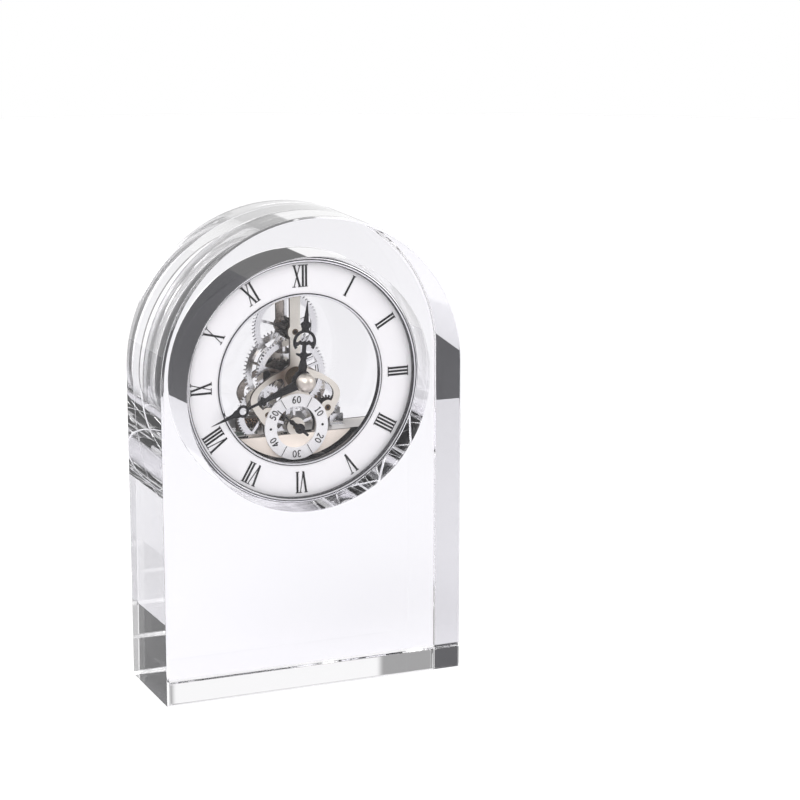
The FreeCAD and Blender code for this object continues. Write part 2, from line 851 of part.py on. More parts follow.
def hour_ring():
    """Band of the hour hand's eye, open towards the hub."""
    eye = (0, hour_eye_rise)
    band = tube(hour_eye_radius, hour_eye_radius - hour_eye_band, hour_hand_depth, hand_thickness, eye)
    reach = 2 * hour_eye_radius
    across = reach * math.sin(math.radians(hour_eye_opening))
    below = hour_eye_rise - reach * math.cos(math.radians(hour_eye_opening))
    wedge = [eye, (across, below), (0, hour_eye_rise - reach), (-across, below)]
    return band.cut(prism(wedge, hour_hand_depth - cut_overrun, hand_thickness + 2 * cut_overrun))


def hour_hand():
    """Pierced hand: bellied body, cross bar, stem, open ring with a crown, bulb and spear."""
    half = hour_cross_width / 2
    pieces = [
        hand_plate(shares, half, hour_hand_length, hour_hand_depth)
        for shares in (hour_body_shares, hour_crown_shares, hour_spear_shares)
    ]
    hand = fused([disc(hour_hub_radius, hour_hand_depth, hand_thickness), hour_ring()] + pieces)
    return clockwise(drilled(hand, hour_pipe_radius, hour_hand_depth), hour_hand_angle)


def seconds_hand():
    """Small hand with a lobe near its hub and a short tail."""
    half = seconds_lobe_width / 2
    hand = fused([
        disc(seconds_hub_radius, seconds_hand_depth, hand_thickness, seconds_pivot),
        hand_plate(seconds_hand_shares, half, seconds_hand_length, seconds_hand_depth, seconds_pivot),
    ])
    hand = drilled(hand, seconds_arbor_radius, seconds_hand_depth, seconds_pivot)
    return clockwise(hand, seconds_hand_angle, seconds_pivot)


def hand_nut():
    """Ball nut with a flat back and a blind threaded hole."""
    centre_depth = minute_hand_depth - nut_centre_lead
    ball = Part.makeSphere(nut_radius, place(0, 0, centre_depth))
    behind = disc(nut_radius * 2, minute_hand_depth, nut_radius * 2)
    hole = disc(centre_arbor_radius, minute_hand_depth - nut_thread_depth, nut_thread_depth + cut_overrun)
    return ball.cut(behind).cut(hole)


def centre_arbor():
    """Arbor from the ball nut to the set knob, with a collar behind the centre wheel."""
    start = minute_hand_depth - nut_thread_depth + seat_clearance
    stem = disc(centre_arbor_radius, start, knob_depth + knob_thickness / 2 - start)
    collar = disc(collar_radius, centre_wheel_depth + thick_wheel, collar_thickness)
    return fused([stem, collar])


def cannon_module():
    return mesh_module(centre_pivot, motion_pivot, cannon_pinion_teeth, motion_wheel_teeth)


def hour_module():
    return mesh_module(centre_pivot, motion_pivot, hour_wheel_teeth, motion_pinion_teeth)


def centre_module():
    return mesh_module(centre_pivot, third_pivot, centre_wheel_teeth, third_pinion_teeth)


def third_module():
    return mesh_module(third_pivot, seconds_pivot, third_wheel_teeth, seconds_pinion_teeth)


def seconds_module():
    return mesh_module(seconds_pivot, step_pivot, seconds_wheel_teeth, step_pinion_teeth)


def step_module():
    return mesh_module(step_pivot, rotor_pivot, step_wheel_teeth, rotor_pinion_teeth)


def gap_phase(start, end, teeth):
    """Phase that points a gap between teeth from one pivot to the next."""
    return bearing(start, end) + 180 / teeth


def pinion(centre, teeth, module, phase, wheel_depth, wheel_thickness, bore):
    """Pinion a little longer than the wheel that it meshes with."""
    depth = wheel_depth - pinion_overlap
    length = wheel_thickness + 2 * pinion_overlap
    blank = toothed_disc(centre, teeth, module, phase, depth, length, True)
    return blank.cut(disc(bore, depth - cut_overrun, length + 2 * cut_overrun, centre))


def centre_wheel():
    """Wheel driven by the third pinion."""
    phase = bearing(centre_pivot, third_pivot)
    return spoked_wheel(centre_pivot, centre_wheel_teeth, centre_module(), phase,
                        centre_wheel_depth, thick_wheel, centre_arbor_radius)


def cannon_pinion():
    """Pinion of the minute arbor that drives the motion work."""
    return pinion(centre_pivot, cannon_pinion_teeth, cannon_module(),
                  gap_phase(centre_pivot, motion_pivot, cannon_pinion_teeth),
                  motion_wheel_depth, thick_wheel, centre_arbor_radius)


def friction_spring():
    """Domed slip washer between the cannon pinion and the centre wheel."""
    start = motion_wheel_depth + thick_wheel + pinion_overlap
    rise = centre_wheel_depth - start - spring_thickness
    outer = centre_arbor_radius + wheel_hub_wall - running_clearance
    profile = [
        (centre_arbor_radius, start), (outer, start + rise), (outer, start + rise + spring_thickness),
        (centre_arbor_radius, start + spring_thickness),
    ]
    corners = [place(radius, 0, depth) for radius, depth in profile]
    face = Part.Face(Part.makePolygon(corners + corners[:1]))
    return face.revolve(place(0, 0, 0), FreeCAD.Vector(0, 1, 0), 360)


def hour_wheel():
    """Hour wheel and the pipe that carries the hour hand."""
    phase = bearing(centre_pivot, motion_pivot)
    wheel = spoked_wheel(centre_pivot, hour_wheel_teeth, hour_module(), phase,
                         hour_wheel_depth, thick_wheel, hour_pipe_radius)
    bore = centre_arbor_radius + running_clearance
    pipe = tube(hour_pipe_radius, bore, hour_hand_depth, hour_wheel_depth + thick_wheel - hour_hand_depth)
    return fused([wheel, pipe])


def motion_wheel():
    """Large wheel above the centre."""
    phase = bearing(motion_pivot, centre_pivot)
    return spoked_wheel(motion_pivot, motion_wheel_teeth, cannon_module(), phase,
                        motion_wheel_depth, thick_wheel, motion_arbor_radius)


def plate_arbor(radius, pivot):
    """Arbor that runs from the front plate's face to the rear plate's face."""
    return disc(radius, front_plate_depth, rear_plate_back - front_plate_depth, pivot)


def motion_pinion():
    """Long pinion on the arbor of the large wheel."""
    start = hour_wheel_depth - long_pinion_lead
    phase = gap_phase(motion_pivot, centre_pivot, motion_pinion_teeth)
    length = motion_wheel_depth - start
    leaves = toothed_disc(motion_pivot, motion_pinion_teeth, hour_module(), phase, start, length, True)
    return fused([leaves, plate_arbor(motion_arbor_radius, motion_pivot)])


def third_wheel():
    """Wheel at the lower left."""
    phase = bearing(third_pivot, seconds_pivot)
    return spoked_wheel(third_pivot, third_wheel_teeth, third_module(), phase,
                        third_wheel_depth, thin_wheel, third_arbor_radius)


def third_pinion():
    """Arbor with the pinion that drives the centre wheel."""
    start = centre_wheel_depth - pinion_overlap
    phase = gap_phase(third_pivot, centre_pivot, third_pinion_teeth)
    length = thick_wheel + 2 * pinion_overlap
    leaves = toothed_disc(third_pivot, third_pinion_teeth, centre_module(), phase, start, length, True)
    return fused([leaves, plate_arbor(third_arbor_radius, third_pivot)])


def seconds_wheel():
    """Wheel on the seconds arbor."""
    phase = bearing(seconds_pivot, step_pivot)
    return spoked_wheel(seconds_pivot, seconds_wheel_teeth, seconds_module(), phase,
                        seconds_wheel_depth, thin_wheel, seconds_arbor_radius)


def seconds_arbor():
    """Arbor of the seconds hand with the pinion that drives the third wheel."""
    start = third_wheel_depth - pinion_overlap / 2
    phase = gap_phase(seconds_pivot, third_pivot, seconds_pinion_teeth)
    length = thin_wheel + pinion_overlap
    leaves = toothed_disc(seconds_pivot, seconds_pinion_teeth, third_module(), phase, start, length, True)
    arbor_length = rear_plate_back - seconds_hand_depth
    return fused([leaves, disc(seconds_arbor_radius, seconds_hand_depth, arbor_length, seconds_pivot)])


def step_wheel():
    """Wheel at the lower right, driven by the rotor."""
    phase = bearing(step_pivot, rotor_pivot)
    return spoked_wheel(step_pivot, step_wheel_teeth, step_module(), phase,
                        step_wheel_depth, thin_wheel, step_arbor_radius)


def step_pinion():
    """Arbor with the pinion that drives the seconds wheel."""
    start = seconds_wheel_depth - pinion_overlap / 2
    phase = gap_phase(step_pivot, seconds_pivot, step_pinion_teeth)
    length = thin_wheel + pinion_overlap
    leaves = toothed_disc(step_pivot, step_pinion_teeth, seconds_module(), phase, start, length, True)
    return fused([leaves, plate_arbor(step_arbor_radius, step_pivot)])


def rotor_pinion():
    """Arbor of the rotor with its six leaves."""
    start = step_wheel_depth - pinion_overlap
    phase = gap_phase(rotor_pivot, step_pivot, rotor_pinion_teeth)
    length = thin_wheel + 2 * pinion_overlap
    leaves = toothed_disc(rotor_pivot, rotor_pinion_teeth, step_module(), phase, start, length, True)
    arbor = disc(rotor_arbor_radius, cock_depth, rear_plate_back - cock_depth, rotor_pivot)
    return fused([leaves, arbor])


def rotor_magnet():
    """Round magnet in the stator's hole."""
    start = stator_depth + stator_thickness / 2 - magnet_length / 2
    return tube(magnet_radius, rotor_arbor_radius, start, magnet_length, rotor_pivot)


def rotor_cock():
    """Bracket on the battery box that holds the rotor's front pivot."""
    left = rotor_pivot[0] - cock_half_width
    right = rotor_pivot[0] + cock_half_width
    top = rotor_pivot[1] + cock_head
    upright = slab(left, right, -apron_drop, top, cock_depth, cock_thickness)
    foot = slab(left, right, -apron_drop, -apron_drop + cock_thickness, cock_depth - cock_foot, cock_foot)
    hole = disc(rotor_arbor_radius + running_clearance, cock_depth - cut_overrun,
                cock_thickness + 2 * cut_overrun, rotor_pivot)
    return fused([upright, foot]).cut(hole)


def stator():
    """Flat yoke with the rotor's hole, cut clear of the seconds arbor."""
    middle = rotor_pivot[1]
    yoke = slab(-stator_reach, stator_reach, middle - stator_height / 2, middle + stator_height / 2,
                stator_depth, stator_thickness)
    drill = stator_thickness + 2 * cut_overrun
    yoke = yoke.cut(disc(magnet_radius + rotor_gap, stator_depth - cut_overrun, drill, rotor_pivot))
    slot_half = stator_slot_width / 2
    slot = slab(-slot_half, slot_half, middle - stator_slot_drop, middle + stator_height,
                stator_depth - cut_overrun, drill)
    return yoke.cut(slot)


def stator_spacers():
    """Spacers between the stator and the ears of the rear plate."""
    start = stator_depth + stator_thickness
    across = stator_reach - stator_spacer_radius
    return group(
        disc(stator_spacer_radius, start, rear_plate_depth - start, (side * across, rotor_pivot[1]))
        for side in (-1, 1)
    )


def coil_axis_depth():
    """Depth of the winding's axis, in front of the stator."""
    return stator_depth - coil_radius


def coil_core():
    """Core with a cheek at each end and legs that reach the stator."""
    axis_depth = coil_axis_depth()
    height = rotor_pivot[1]
    reach = coil_length / 2 + coil_cheek
    bar = slab(-coil_centre_left - reach, -coil_centre_left + reach, height - coil_core_size / 2,
               height + coil_core_size / 2, axis_depth - coil_core_size / 2, coil_core_size)
    cheeks = [
        slab(start, start + coil_cheek, height - coil_radius, height + coil_radius,
             axis_depth - coil_radius, 2 * coil_radius)
        for start in (-coil_centre_left - reach, -coil_centre_left + reach - coil_cheek)
    ]
    return fused([bar] + cheeks)


def coil_winding():
    """Even winding round the core, one unbroken wire."""
    pitch = (coil_length - 4 * coil_wire_radius) / coil_turns
    path_radius = coil_radius - 2 * coil_wire_radius
    helix = Part.makeLongHelix(pitch, pitch * coil_turns, path_radius)
    wire_start = FreeCAD.Vector(path_radius, 0, 0)
    profile = Part.Wire(Part.makeCircle(coil_wire_radius, wire_start, FreeCAD.Vector(0, 1, 0)))
    wire = Part.Wire(helix.Edges).makePipeShell([profile], True, True)
    wire.rotate(FreeCAD.Vector(0, 0, 0), FreeCAD.Vector(0, 1, 0), 90)
    wire.translate(place(-coil_centre_left - pitch * coil_turns / 2, rotor_pivot[1], coil_axis_depth()))
    gap = pitch - 2 * coil_wire_radius
    print("coil: least gap between turns", round(gap, 3), "mm")
    return wire


def circuit_board():
    """Board standing on the top of the battery box."""
    return slab(-board_left, -board_left + board_width, -apron_drop, -apron_drop + board_thickness,
                board_depth, board_length)


def board_parts():
    """Chip on the board."""
    top = -apron_drop + board_thickness
    left = -board_left + board_width - 2 * chip_size
    start = board_depth + (board_length - chip_size) / 2
    return slab(left, left + chip_size, top, top + chip_height, start, chip_size)


def quartz_can():
    """Can of the tuning fork, lying on the board."""
    start = FreeCAD.Vector(
        -board_left + board_thickness, board_depth + board_length / 2 - block_depth / 2,
        dial_height - apron_drop + board_thickness + can_radius,
    )
    return Part.makeCylinder(can_radius, can_length, start, FreeCAD.Vector(1, 0, 0))


def battery_box():
    """Segment-shaped shell: gear pocket in front, cell chamber behind, collar through the rear plate."""
    length = rear_plate_depth - front_plate_back
    start = front_plate_back - cut_overrun
    collar_start = chamber_depth - box_wall
    pocket_foot = -apron_drop - gear_pocket_drop
    collar_low = cell_height - collar_half_height
    collar_high = cell_height + collar_half_height
    collar = slab(-collar_half_width, collar_half_width, collar_low, collar_high,
                  collar_start, collar_back - collar_start)
    pocket_walls = slab(-gear_pocket_left - box_wall, gear_pocket_right + box_wall, pocket_foot - box_wall,
                        -apron_drop, front_plate_back, gear_pocket_depth + box_wall)
    kept = [collar, pocket_walls]
    for centre in rear_screw_places()[1:]:
        kept.append(disc(pillar_radius + box_wall, front_plate_back, length, centre))
    above = slab(-block_width, block_width, -apron_drop, block_width, start, block_depth)
    above_inside = slab(-block_width, block_width, -apron_drop - box_wall, block_width, start, block_depth)
    hollow = disc(box_radius - box_wall, front_plate_back + box_wall, block_depth).cut(above_inside)
    for solid in kept:
        hollow = hollow.cut(solid)
    shell = disc(box_radius, front_plate_back, length).cut(above).cut(hollow)
    pocket = slab(-gear_pocket_left, gear_pocket_right, pocket_foot, cut_overrun - apron_drop,
                  start, gear_pocket_depth + cut_overrun)
    chamber = slab(-chamber_half_width, chamber_half_width, cell_height - chamber_half_height,
                   cell_height + chamber_half_height, chamber_depth, block_depth)
    box = fused([shell, collar]).cut(pocket).cut(chamber)
    for centre in rear_screw_places()[1:]:
        tapped = disc(screw_hole_radius, rear_plate_depth - pillar_tap_depth, block_depth, centre)
        box = box.cut(tapped)
    return box


def battery_cell():
    """Round cell lying across the clock, its tip to the right."""
    start = place(-cell_half + cell_tip_length, cell_height, cell_depth)
    body = Part.makeCylinder(cell_radius, cell_length, start, FreeCAD.Vector(1, 0, 0))
    tip = Part.makeCylinder(cell_tip_radius, cell_length + cell_tip_length, start, FreeCAD.Vector(1, 0, 0))
    return fused([body, tip])


def contact(side):
    """Flat contact at one end of the chamber, with a bump that touches the cell."""
    left, right = sorted((side * (cell_half + seat_clearance), side * chamber_half_width))
    return slab(left, right, cell_height - chamber_half_height, cell_height + chamber_half_height,
                chamber_depth, 2 * chamber_half_height)


def contact_positive():
    """Contact at the cell's tip."""
    return contact(1)


def contact_negative():
    """Contact at the cell's flat end, with its bowed tongue."""
    plate = contact(-1)
    height = cell_radius / 2
    tongue = slab(-cell_half - seat_clearance, -cell_half + cell_tip_length - seat_clearance,
                  cell_height - height, cell_height + height, cell_depth - height, 2 * height)
    return fused([plate, tongue])


def battery_door():
    """Door over the chamber, with two ribs that enter the collar and grip ribs outside."""
    door = slab(-collar_half_width, collar_half_width, cell_height - collar_half_height,
                cell_height + collar_half_height, collar_back, door_thickness)
    outside = chamber_half_height - box_clearance
    inside = outside - door_rib
    ribs = [
        slab(-cell_half, cell_half, cell_height + low, cell_height + high, collar_back - door_rib, door_rib)
        for low, high in ((inside, outside), (-outside, -inside))
    ]
    for index in range(grip_rib_count):
        left = (index - (grip_rib_count - 1) / 2) * grip_rib_spacing - grip_rib_width / 2
        low, high = cell_height - collar_half_height / 2, cell_height + collar_half_height / 2
        start = collar_back + door_thickness
        ribs.append(slab(left, left + grip_rib_width, low, high, start, grip_rib_height))
    return fused([door] + ribs)


def rear_cover():
    """Clear cover with a hole for the knob and a cut-out for the battery door."""
    plate = disc(drum_outer_radius, drum_back, cover_thickness)
    lip_outer = drum_inner_radius - seat_clearance
    lip = tube(lip_outer, lip_outer - cover_lip_wall, drum_back - cover_lip, cover_lip)
    cover = fused([plate, lip])
    start = drum_back - cover_lip - cut_overrun
    drill = cover_lip + cover_thickness + 2 * cut_overrun
    cover = cover.cut(disc(knob_radius + knob_gap, start, drill))
    half_width = collar_half_width + door_gap
    half_height = collar_half_height + door_gap
    low, high = cell_height - half_height, cell_height + half_height
    return cover.cut(slab(-half_width, half_width, low, high, start, drill))


def set_knob():
    """Fluted thumb knob on the end of the centre arbor."""
    knob = disc(knob_radius, knob_depth, knob_thickness)
    for index in range(knob_flutes):
        angle = 2 * math.pi * index / knob_flutes
        centre = (knob_radius * math.cos(angle), knob_radius * math.sin(angle))
        flute = disc(knob_flute_radius, knob_depth - cut_overrun, knob_thickness + 2 * cut_overrun, centre)
        knob = knob.cut(flute)
    return knob.cut(disc(centre_arbor_radius, knob_depth - cut_overrun, cut_overrun + knob_thickness / 2))


NODES = [
    crystal_body, module_drum, grip_band, bezel_ring, chapter_ring, hour_numerals, window_rim, dial_posts,
    front_bridge, rear_bridge, top_pillar, bridge_screws, front_bushes, rear_bushes, centre_bush,
    seconds_dial, seconds_numerals, hour_hand, minute_hand, seconds_hand, hand_nut, centre_arbor,
    centre_wheel, friction_spring, cannon_pinion, motion_wheel, motion_pinion, hour_wheel,
    third_wheel, third_pinion, seconds_wheel, seconds_arbor, step_wheel, step_pinion,
    rotor_magnet, rotor_pinion, rotor_cock, stator, stator_spacers, coil_core, coil_winding,
    circuit_board, board_parts, quartz_can, battery_box, battery_cell, contact_positive,
    contact_negative, battery_door, rear_cover, set_knob,
]


def main():
    """Write one file for each piece."""
    os.makedirs("parts", exist_ok=True)
    for build in NODES:
        shape = build()
        valid = shape.isValid()
        print(build.__name__, "solids", len(shape.Solids), "volume", round(shape.Volume, 2), "valid", valid)
        shape.exportStep("parts/" + build.__name__ + ".step")


main()
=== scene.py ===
"""Looks, light and camera of an arched crystal shelf clock with a skeleton quartz movement."""

import logging
import math
from dataclasses import dataclass, field
from enum import Enum
from typing import Any, Dict, List, Optional, Sequence, Tuple, Union

import bmesh
import bpy
import numpy as np
from mathutils import Matrix, Vector


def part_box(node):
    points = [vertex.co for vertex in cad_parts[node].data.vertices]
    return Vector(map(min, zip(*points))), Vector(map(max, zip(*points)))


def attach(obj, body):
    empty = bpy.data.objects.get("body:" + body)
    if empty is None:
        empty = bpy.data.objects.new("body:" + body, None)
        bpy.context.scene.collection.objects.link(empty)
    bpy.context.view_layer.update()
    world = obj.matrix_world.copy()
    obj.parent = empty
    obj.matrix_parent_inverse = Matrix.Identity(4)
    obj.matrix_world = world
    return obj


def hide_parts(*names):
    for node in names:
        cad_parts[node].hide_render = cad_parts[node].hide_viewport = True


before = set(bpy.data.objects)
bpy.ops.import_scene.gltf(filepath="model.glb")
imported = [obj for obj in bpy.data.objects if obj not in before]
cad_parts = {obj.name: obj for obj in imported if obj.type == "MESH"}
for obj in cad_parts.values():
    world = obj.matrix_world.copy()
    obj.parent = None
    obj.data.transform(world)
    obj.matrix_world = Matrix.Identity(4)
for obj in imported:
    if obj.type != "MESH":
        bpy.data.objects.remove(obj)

LOG = logging.getLogger("clock")
MM = 0.001
Colour = Tuple[float, float, float]
Number = Union[int, float]
Span = Tuple[float, float]
DIAL_HEIGHT = 112.3 * MM
DIAL_CENTRE = (0.0, 0.0, DIAL_HEIGHT)


def rgba(colour: Colour) -> Tuple[float, float, float, float]:
    """Opaque colour: red, green, blue and one."""
    return (colour[0], colour[1], colour[2], 1.0)


def srgb(red: float, green: float, blue: float) -> Colour:
    """Linear colour of an eight-bit display colour.

    Args:
        red: Red from 0 to 255.
        green: Green from 0 to 255.
        blue: Blue from 0 to 255.

    Returns:
        The linear red, green and blue.
    """
    def linear(value: float) -> float:
        """One channel, by the two-part curve of sRGB."""
        share = value / 255
        return share / 12.92 if share <= 0.04045 else ((share + 0.055) / 1.055) ** 2.4
    return (linear(red), linear(green), linear(blue))


def tinted(colour: Colour, share: float) -> Colour:
    """Colour times one share.

    Args:
        colour: Linear red, green and blue.
        share: Factor of each of the three.

    Returns:
        The darker or brighter colour.
    """
    return (share * colour[0], share * colour[1], share * colour[2])


class Socket:
    """A shader value that reads as a Python number in expressions."""

    def __init__(self, graph: "Graph", link: Any) -> None:
        """Keep the graph and the node socket."""
        self.graph = graph
        self.link = link

    def _math(self, operation: str, *values: Any) -> "Socket":
        """Add one Math node and return its value."""
        return self.graph.node("ShaderNodeMath", {"operation": operation}, dict(enumerate(values)))

    def __add__(self, other: Any) -> "Socket":
        """Sum."""
        return self._math("ADD", self, other)

    __radd__ = __add__

    def __sub__(self, other: Any) -> "Socket":
        """Difference."""
        return self._math("SUBTRACT", self, other)

    def __rsub__(self, other: Any) -> "Socket":
        """Difference with the value on the right."""
        return self._math("SUBTRACT", other, self)

    def __mul__(self, other: Any) -> "Socket":
        """Product."""
        return self._math("MULTIPLY", self, other)

    __rmul__ = __mul__

    def __truediv__(self, other: Any) -> "Socket":
        """Quotient."""
        return self._math("DIVIDE", self, other)

    def power(self, exponent: Number) -> "Socket":
        """Value raised to an exponent."""
        return self._math("POWER", self, exponent)

    def clamp(self) -> "Socket":
        """Value held between zero and one."""
        return self.graph.node("ShaderNodeClamp", {}, {"Value": self})

    def step(self, low: Number, high: Number) -> "Socket":
        """Smooth rise of the value: 3 t squared minus 2 t cubed, with t running from low to high.

        Args:
            low: Where the rise starts, at zero.
            high: Where it ends, at one.

        Returns:
            A value between zero and one.
        """
        settings = {"interpolation_type": "SMOOTHSTEP"}
        sockets = {"Value": self, "From Min": low, "From Max": high, "To Min": 0.0, "To Max": 1.0}
        return self.graph.node("ShaderNodeMapRange", settings, sockets)

    def absolute(self) -> "Socket":
        """Value without its sign."""
        return self._math("ABSOLUTE", self)


class Axis(Enum):
    """Direction that a face looks along, by its place in a vector."""

    REAR = 1
    UPWARD = 2


class Graph:
    """Node tree of one material or world."""

    def __init__(self, owner: Any) -> None:
        """Take a material or a world and empty its tree."""
        self.owner = owner
        owner.use_nodes = True
        self.tree = owner.node_tree
        self.tree.nodes.clear()

    @classmethod
    def named(cls, name: str) -> "Graph":
        """Start a new material of that name."""
        return cls(bpy.data.materials.new(name))

    def node(self, kind: str, settings: Dict[str, Any], sockets: Dict[Any, Any],
             out: Any = 0) -> Socket:
        """Add any node.

        Args:
            kind: Node type.
            settings: Attributes set first; "stops" fills a colour ramp.
            sockets: Input name or index to a value or a Socket.
            out: Output name or index.

        Returns:
            The chosen output.
        """
        made = self.tree.nodes.new(kind)
        for name, value in settings.items():
            if name == "stops":
                self._fill_ramp(made.color_ramp, value)
            else:
                setattr(made, name, value)
        for name, value in sockets.items():
            target = made.inputs[name]
            if isinstance(value, Socket):
                self.tree.links.new(value.link, target)
            else:
                target.default_value = value
        return Socket(self, None if out is None else made.outputs[out])

    def _fill_ramp(self, ramp: Any, stops: Sequence[Tuple[float, Colour]]) -> None:
        """Put the stops into a colour ramp."""
        while len(ramp.elements) < len(stops):
            ramp.elements.new(0.5)
        for element, (position, colour) in zip(ramp.elements, stops):
            element.position = position
            element.color = rgba(colour)

    def place(self, scale: Sequence[float] = (1, 1, 1), centre: Sequence[float] = (0, 0, 0)) -> Socket:
        """Object coordinates from a centre, scaled per axis: (place - centre) times scale.

        Args:
            scale: Factor of each axis.
            centre: Point in metres that becomes the origin.

        Returns:
            The vector.
        """
        spot = self.node("ShaderNodeTexCoord", {}, {}, "Object")
        shift = [-centre[i] * scale[i] for i in range(3)]
        return self.node("ShaderNodeMapping", {"vector_type": "POINT"},
                         {"Vector": spot, "Location": shift, "Scale": tuple(scale)})

    def split(self, vector: Socket) -> Tuple[Socket, Socket, Socket]:
        """The three parts of a vector."""
        outputs = self.node("ShaderNodeSeparateXYZ", {}, {"Vector": vector}).link.node.outputs
        return Socket(self, outputs[0]), Socket(self, outputs[1]), Socket(self, outputs[2])

    def axes(self, centre: Sequence[float] = (0, 0, 0)) -> Tuple[Socket, Socket, Socket]:
        """The three object coordinates from a centre, in metres."""
        return self.split(self.place(centre=centre))

    def reach(self, centre: Sequence[float]) -> Socket:
        """Distance from a line along Y through a centre: the root of x squared plus z squared."""
        x, _, z = self.axes(centre)
        return (x * x + z * z).power(0.5)

    def noise(self, vector: Socket, scale: float, detail: float = 3.0,
              roughness: float = 0.5) -> Socket:
        """Noise between zero and one.

        Args:
            vector: Where it is taken.
            scale: Its fineness.
            detail: How many finer layers it has.
            roughness: How strong these layers are.

        Returns:
            The value.
        """
        return self.node("ShaderNodeTexNoise", {}, {"Vector": vector, "Scale": scale, "Detail": detail,
                                                    "Roughness": roughness})

    def ramp(self, factor: Socket, stops: Sequence[Tuple[float, Colour]]) -> Socket:
        """Colour ramp through the stops, each a position and a colour."""
        return self.node("ShaderNodeValToRGB", {"stops": stops}, {"Fac": factor})

    def mix(self, factor: Any, first: Any, second: Any) -> Socket:
        """Colour between two: the first at factor zero, the second at one."""
        def colour(value: Any) -> Any:
            """Value as the input of a colour socket."""
            return value if isinstance(value, Socket) else rgba(value)
        return self.node("ShaderNodeMix", {"data_type": "RGBA"},
                         {0: factor, 6: colour(first), 7: colour(second)}, 2)

    def bump(self, height: Socket, strength: float, distance: float) -> Socket:
        """Normal from a height between zero and one.

        Args:
            height: The height.
            strength: Share of the effect.
            distance: Depth in metres that height one stands for.

        Returns:
            The normal.
        """
        return self.node("ShaderNodeBump", {},
                         {"Height": height, "Strength": strength, "Distance": distance})

    def shader(self, values: Dict[str, Any]) -> Socket:
        """Principled shader."""
        return self.node("ShaderNodeBsdfPrincipled", {}, values)

    def blend(self, factor: Socket, first: Socket, second: Socket) -> Socket:
        """Shader between two: the first at factor zero, the second at one."""
        return self.node("ShaderNodeMixShader", {}, {0: factor, 1: first, 2: second})

    def ray(self, name: str) -> Socket:
        """One output of the light path: a kind of ray or a count of bounces."""
        return self.node("ShaderNodeLightPath", {}, {}, name)

    def normal(self, axis: Axis) -> Socket:
        """The face's own normal along one axis."""
        return self.split(self.node("ShaderNodeNewGeometry", {}, {}, "True Normal"))[axis.value]

    def sideways(self) -> Socket:
        """One on faces that stand along Y, zero on faces square to it."""
        return 1.0 - self.normal(Axis.REAR).absolute().step(0.3, 0.8)

    def facing(self, axis: Axis) -> Socket:
        """One on faces that look along an axis, zero on the others."""
        return self.normal(axis).step(0.4, 0.7)

    def finish(self, surface: Socket, kind: str = "ShaderNodeOutputMaterial") -> Any:
        """Join the shader to the output and return the material or world."""
        self.node(kind, {}, {"Surface": surface}, None)
        return self.owner


class Grain(Enum):
    """How a metal was finished."""

    BRUSHED_ACROSS = "brushed along x"
    BRUSHED_ROUND = "turned about the dial's centre"
    SATIN = "fine blasted"


@dataclass(frozen=True)
class Metal:
    """Metal with its grain and slight colour change.

    Faces that stand along Y and rear faces get painted shade: the fields for the side faces and for the
    rear faces are the shares of the darker colour that they keep.
    """

    name: str
    colour: Colour
    shade: Colour
    roughness: float
    grain: Grain
    metallic: float = 1.0
    relief: float = 0.06
    # Painted shade on side faces and on rear faces: shares of the darker colour, one for none.
    painted_side_shade: float = 1.0
    back: float = 1.0
    depth: float = 0.04 * MM
    brush: Tuple[float, float, float] = (60, 60, 4200)
    turned: Span = (5200.0, 30.0)
    blasted: float = 5200.0

    def texture(self, graph: Graph) -> Socket:
        """Noise that follows the grain.

        Args:
            graph: Tree that it is added to.

        Returns:
            A value between zero and one.
        """
        if self.grain is Grain.BRUSHED_ACROSS:
            return graph.noise(graph.place(self.brush), 1.0, 4.0, 0.6)
        if self.grain is Grain.BRUSHED_ROUND:
            across, along = self.turned
            x, _, z = graph.axes(DIAL_CENTRE)
            turn = {"X": graph.reach(DIAL_CENTRE) * across, "Y": x * along, "Z": z * along}
            return graph.noise(graph.node("ShaderNodeCombineXYZ", {}, turn), 1.0, 3.0, 0.6)
        return graph.noise(graph.place(), self.blasted, 2.0, 0.5)

    def make(self) -> bpy.types.Material:
        """Build the material."""
        graph = Graph.named(self.name)
        texture = self.texture(graph)
        colour = graph.ramp(texture, [(0.3, self.shade), (0.7, self.colour)])
        # Painted shade: faces that stand along Y and rear faces take a darker colour, as if shadowed.
        if self.painted_side_shade < 1.0:
            colour = graph.mix(graph.sideways(), colour, tinted(self.shade, self.painted_side_shade))
        if self.back < 1.0:
            colour = graph.mix(graph.facing(Axis.REAR), colour, tinted(self.shade, self.back))
        rough = texture * (self.roughness * 0.5) + self.roughness * 0.75
        return graph.finish(graph.shader({
            "Base Color": colour, "Metallic": self.metallic, "Roughness": rough,
            "Normal": graph.bump(texture, self.relief, self.depth),
        }))


@dataclass(frozen=True)
class ChromeWithPaintedShadeLines:
    """Polished ring with dark bands painted round the dial's centre, each from a low to a high radius:
    painted gap shade and painted dark edge reflection.
    """

    name: str
    colour: Colour
    # Colour and radii of the painted shade bands.
    line: Colour
    painted_dark_bands: Tuple[Span, ...]
    roughness: float = 0.06
    spread: float = 0.02
    edge: float = 0.04 * MM
    depth: float = 0.02 * MM

    def make(self) -> bpy.types.Material:
        """Build the material: a painted dark band is where the radius is between its low and its high
        end.
        """
        graph = Graph.named(self.name)
        radius = graph.reach(DIAL_CENTRE)
        # Painted shade and painted reflection: dark where the ring would show gap shadows and dark edge
        # reflections; the metal is also dulled there.
        dark: Any = 0.0
        for low, high in self.painted_dark_bands:
            inside = radius.step(low - self.edge, low + self.edge)
            dark = inside * (1.0 - radius.step(high - self.edge, high + self.edge)) + dark
        dark = dark.clamp()
        grain = graph.noise(graph.place(), 400.0, 2.0)
        pale = graph.ramp(grain, [(0.3, tinted(self.colour, 0.96)), (0.7, self.colour)])
        return graph.finish(graph.shader({
            "Base Color": graph.mix(dark, pale, self.line), "Metallic": 1.0 - dark * 0.6,
            "Roughness": grain * self.spread + self.roughness,
            "Normal": graph.bump(grain, 0.02, self.depth),
        }))


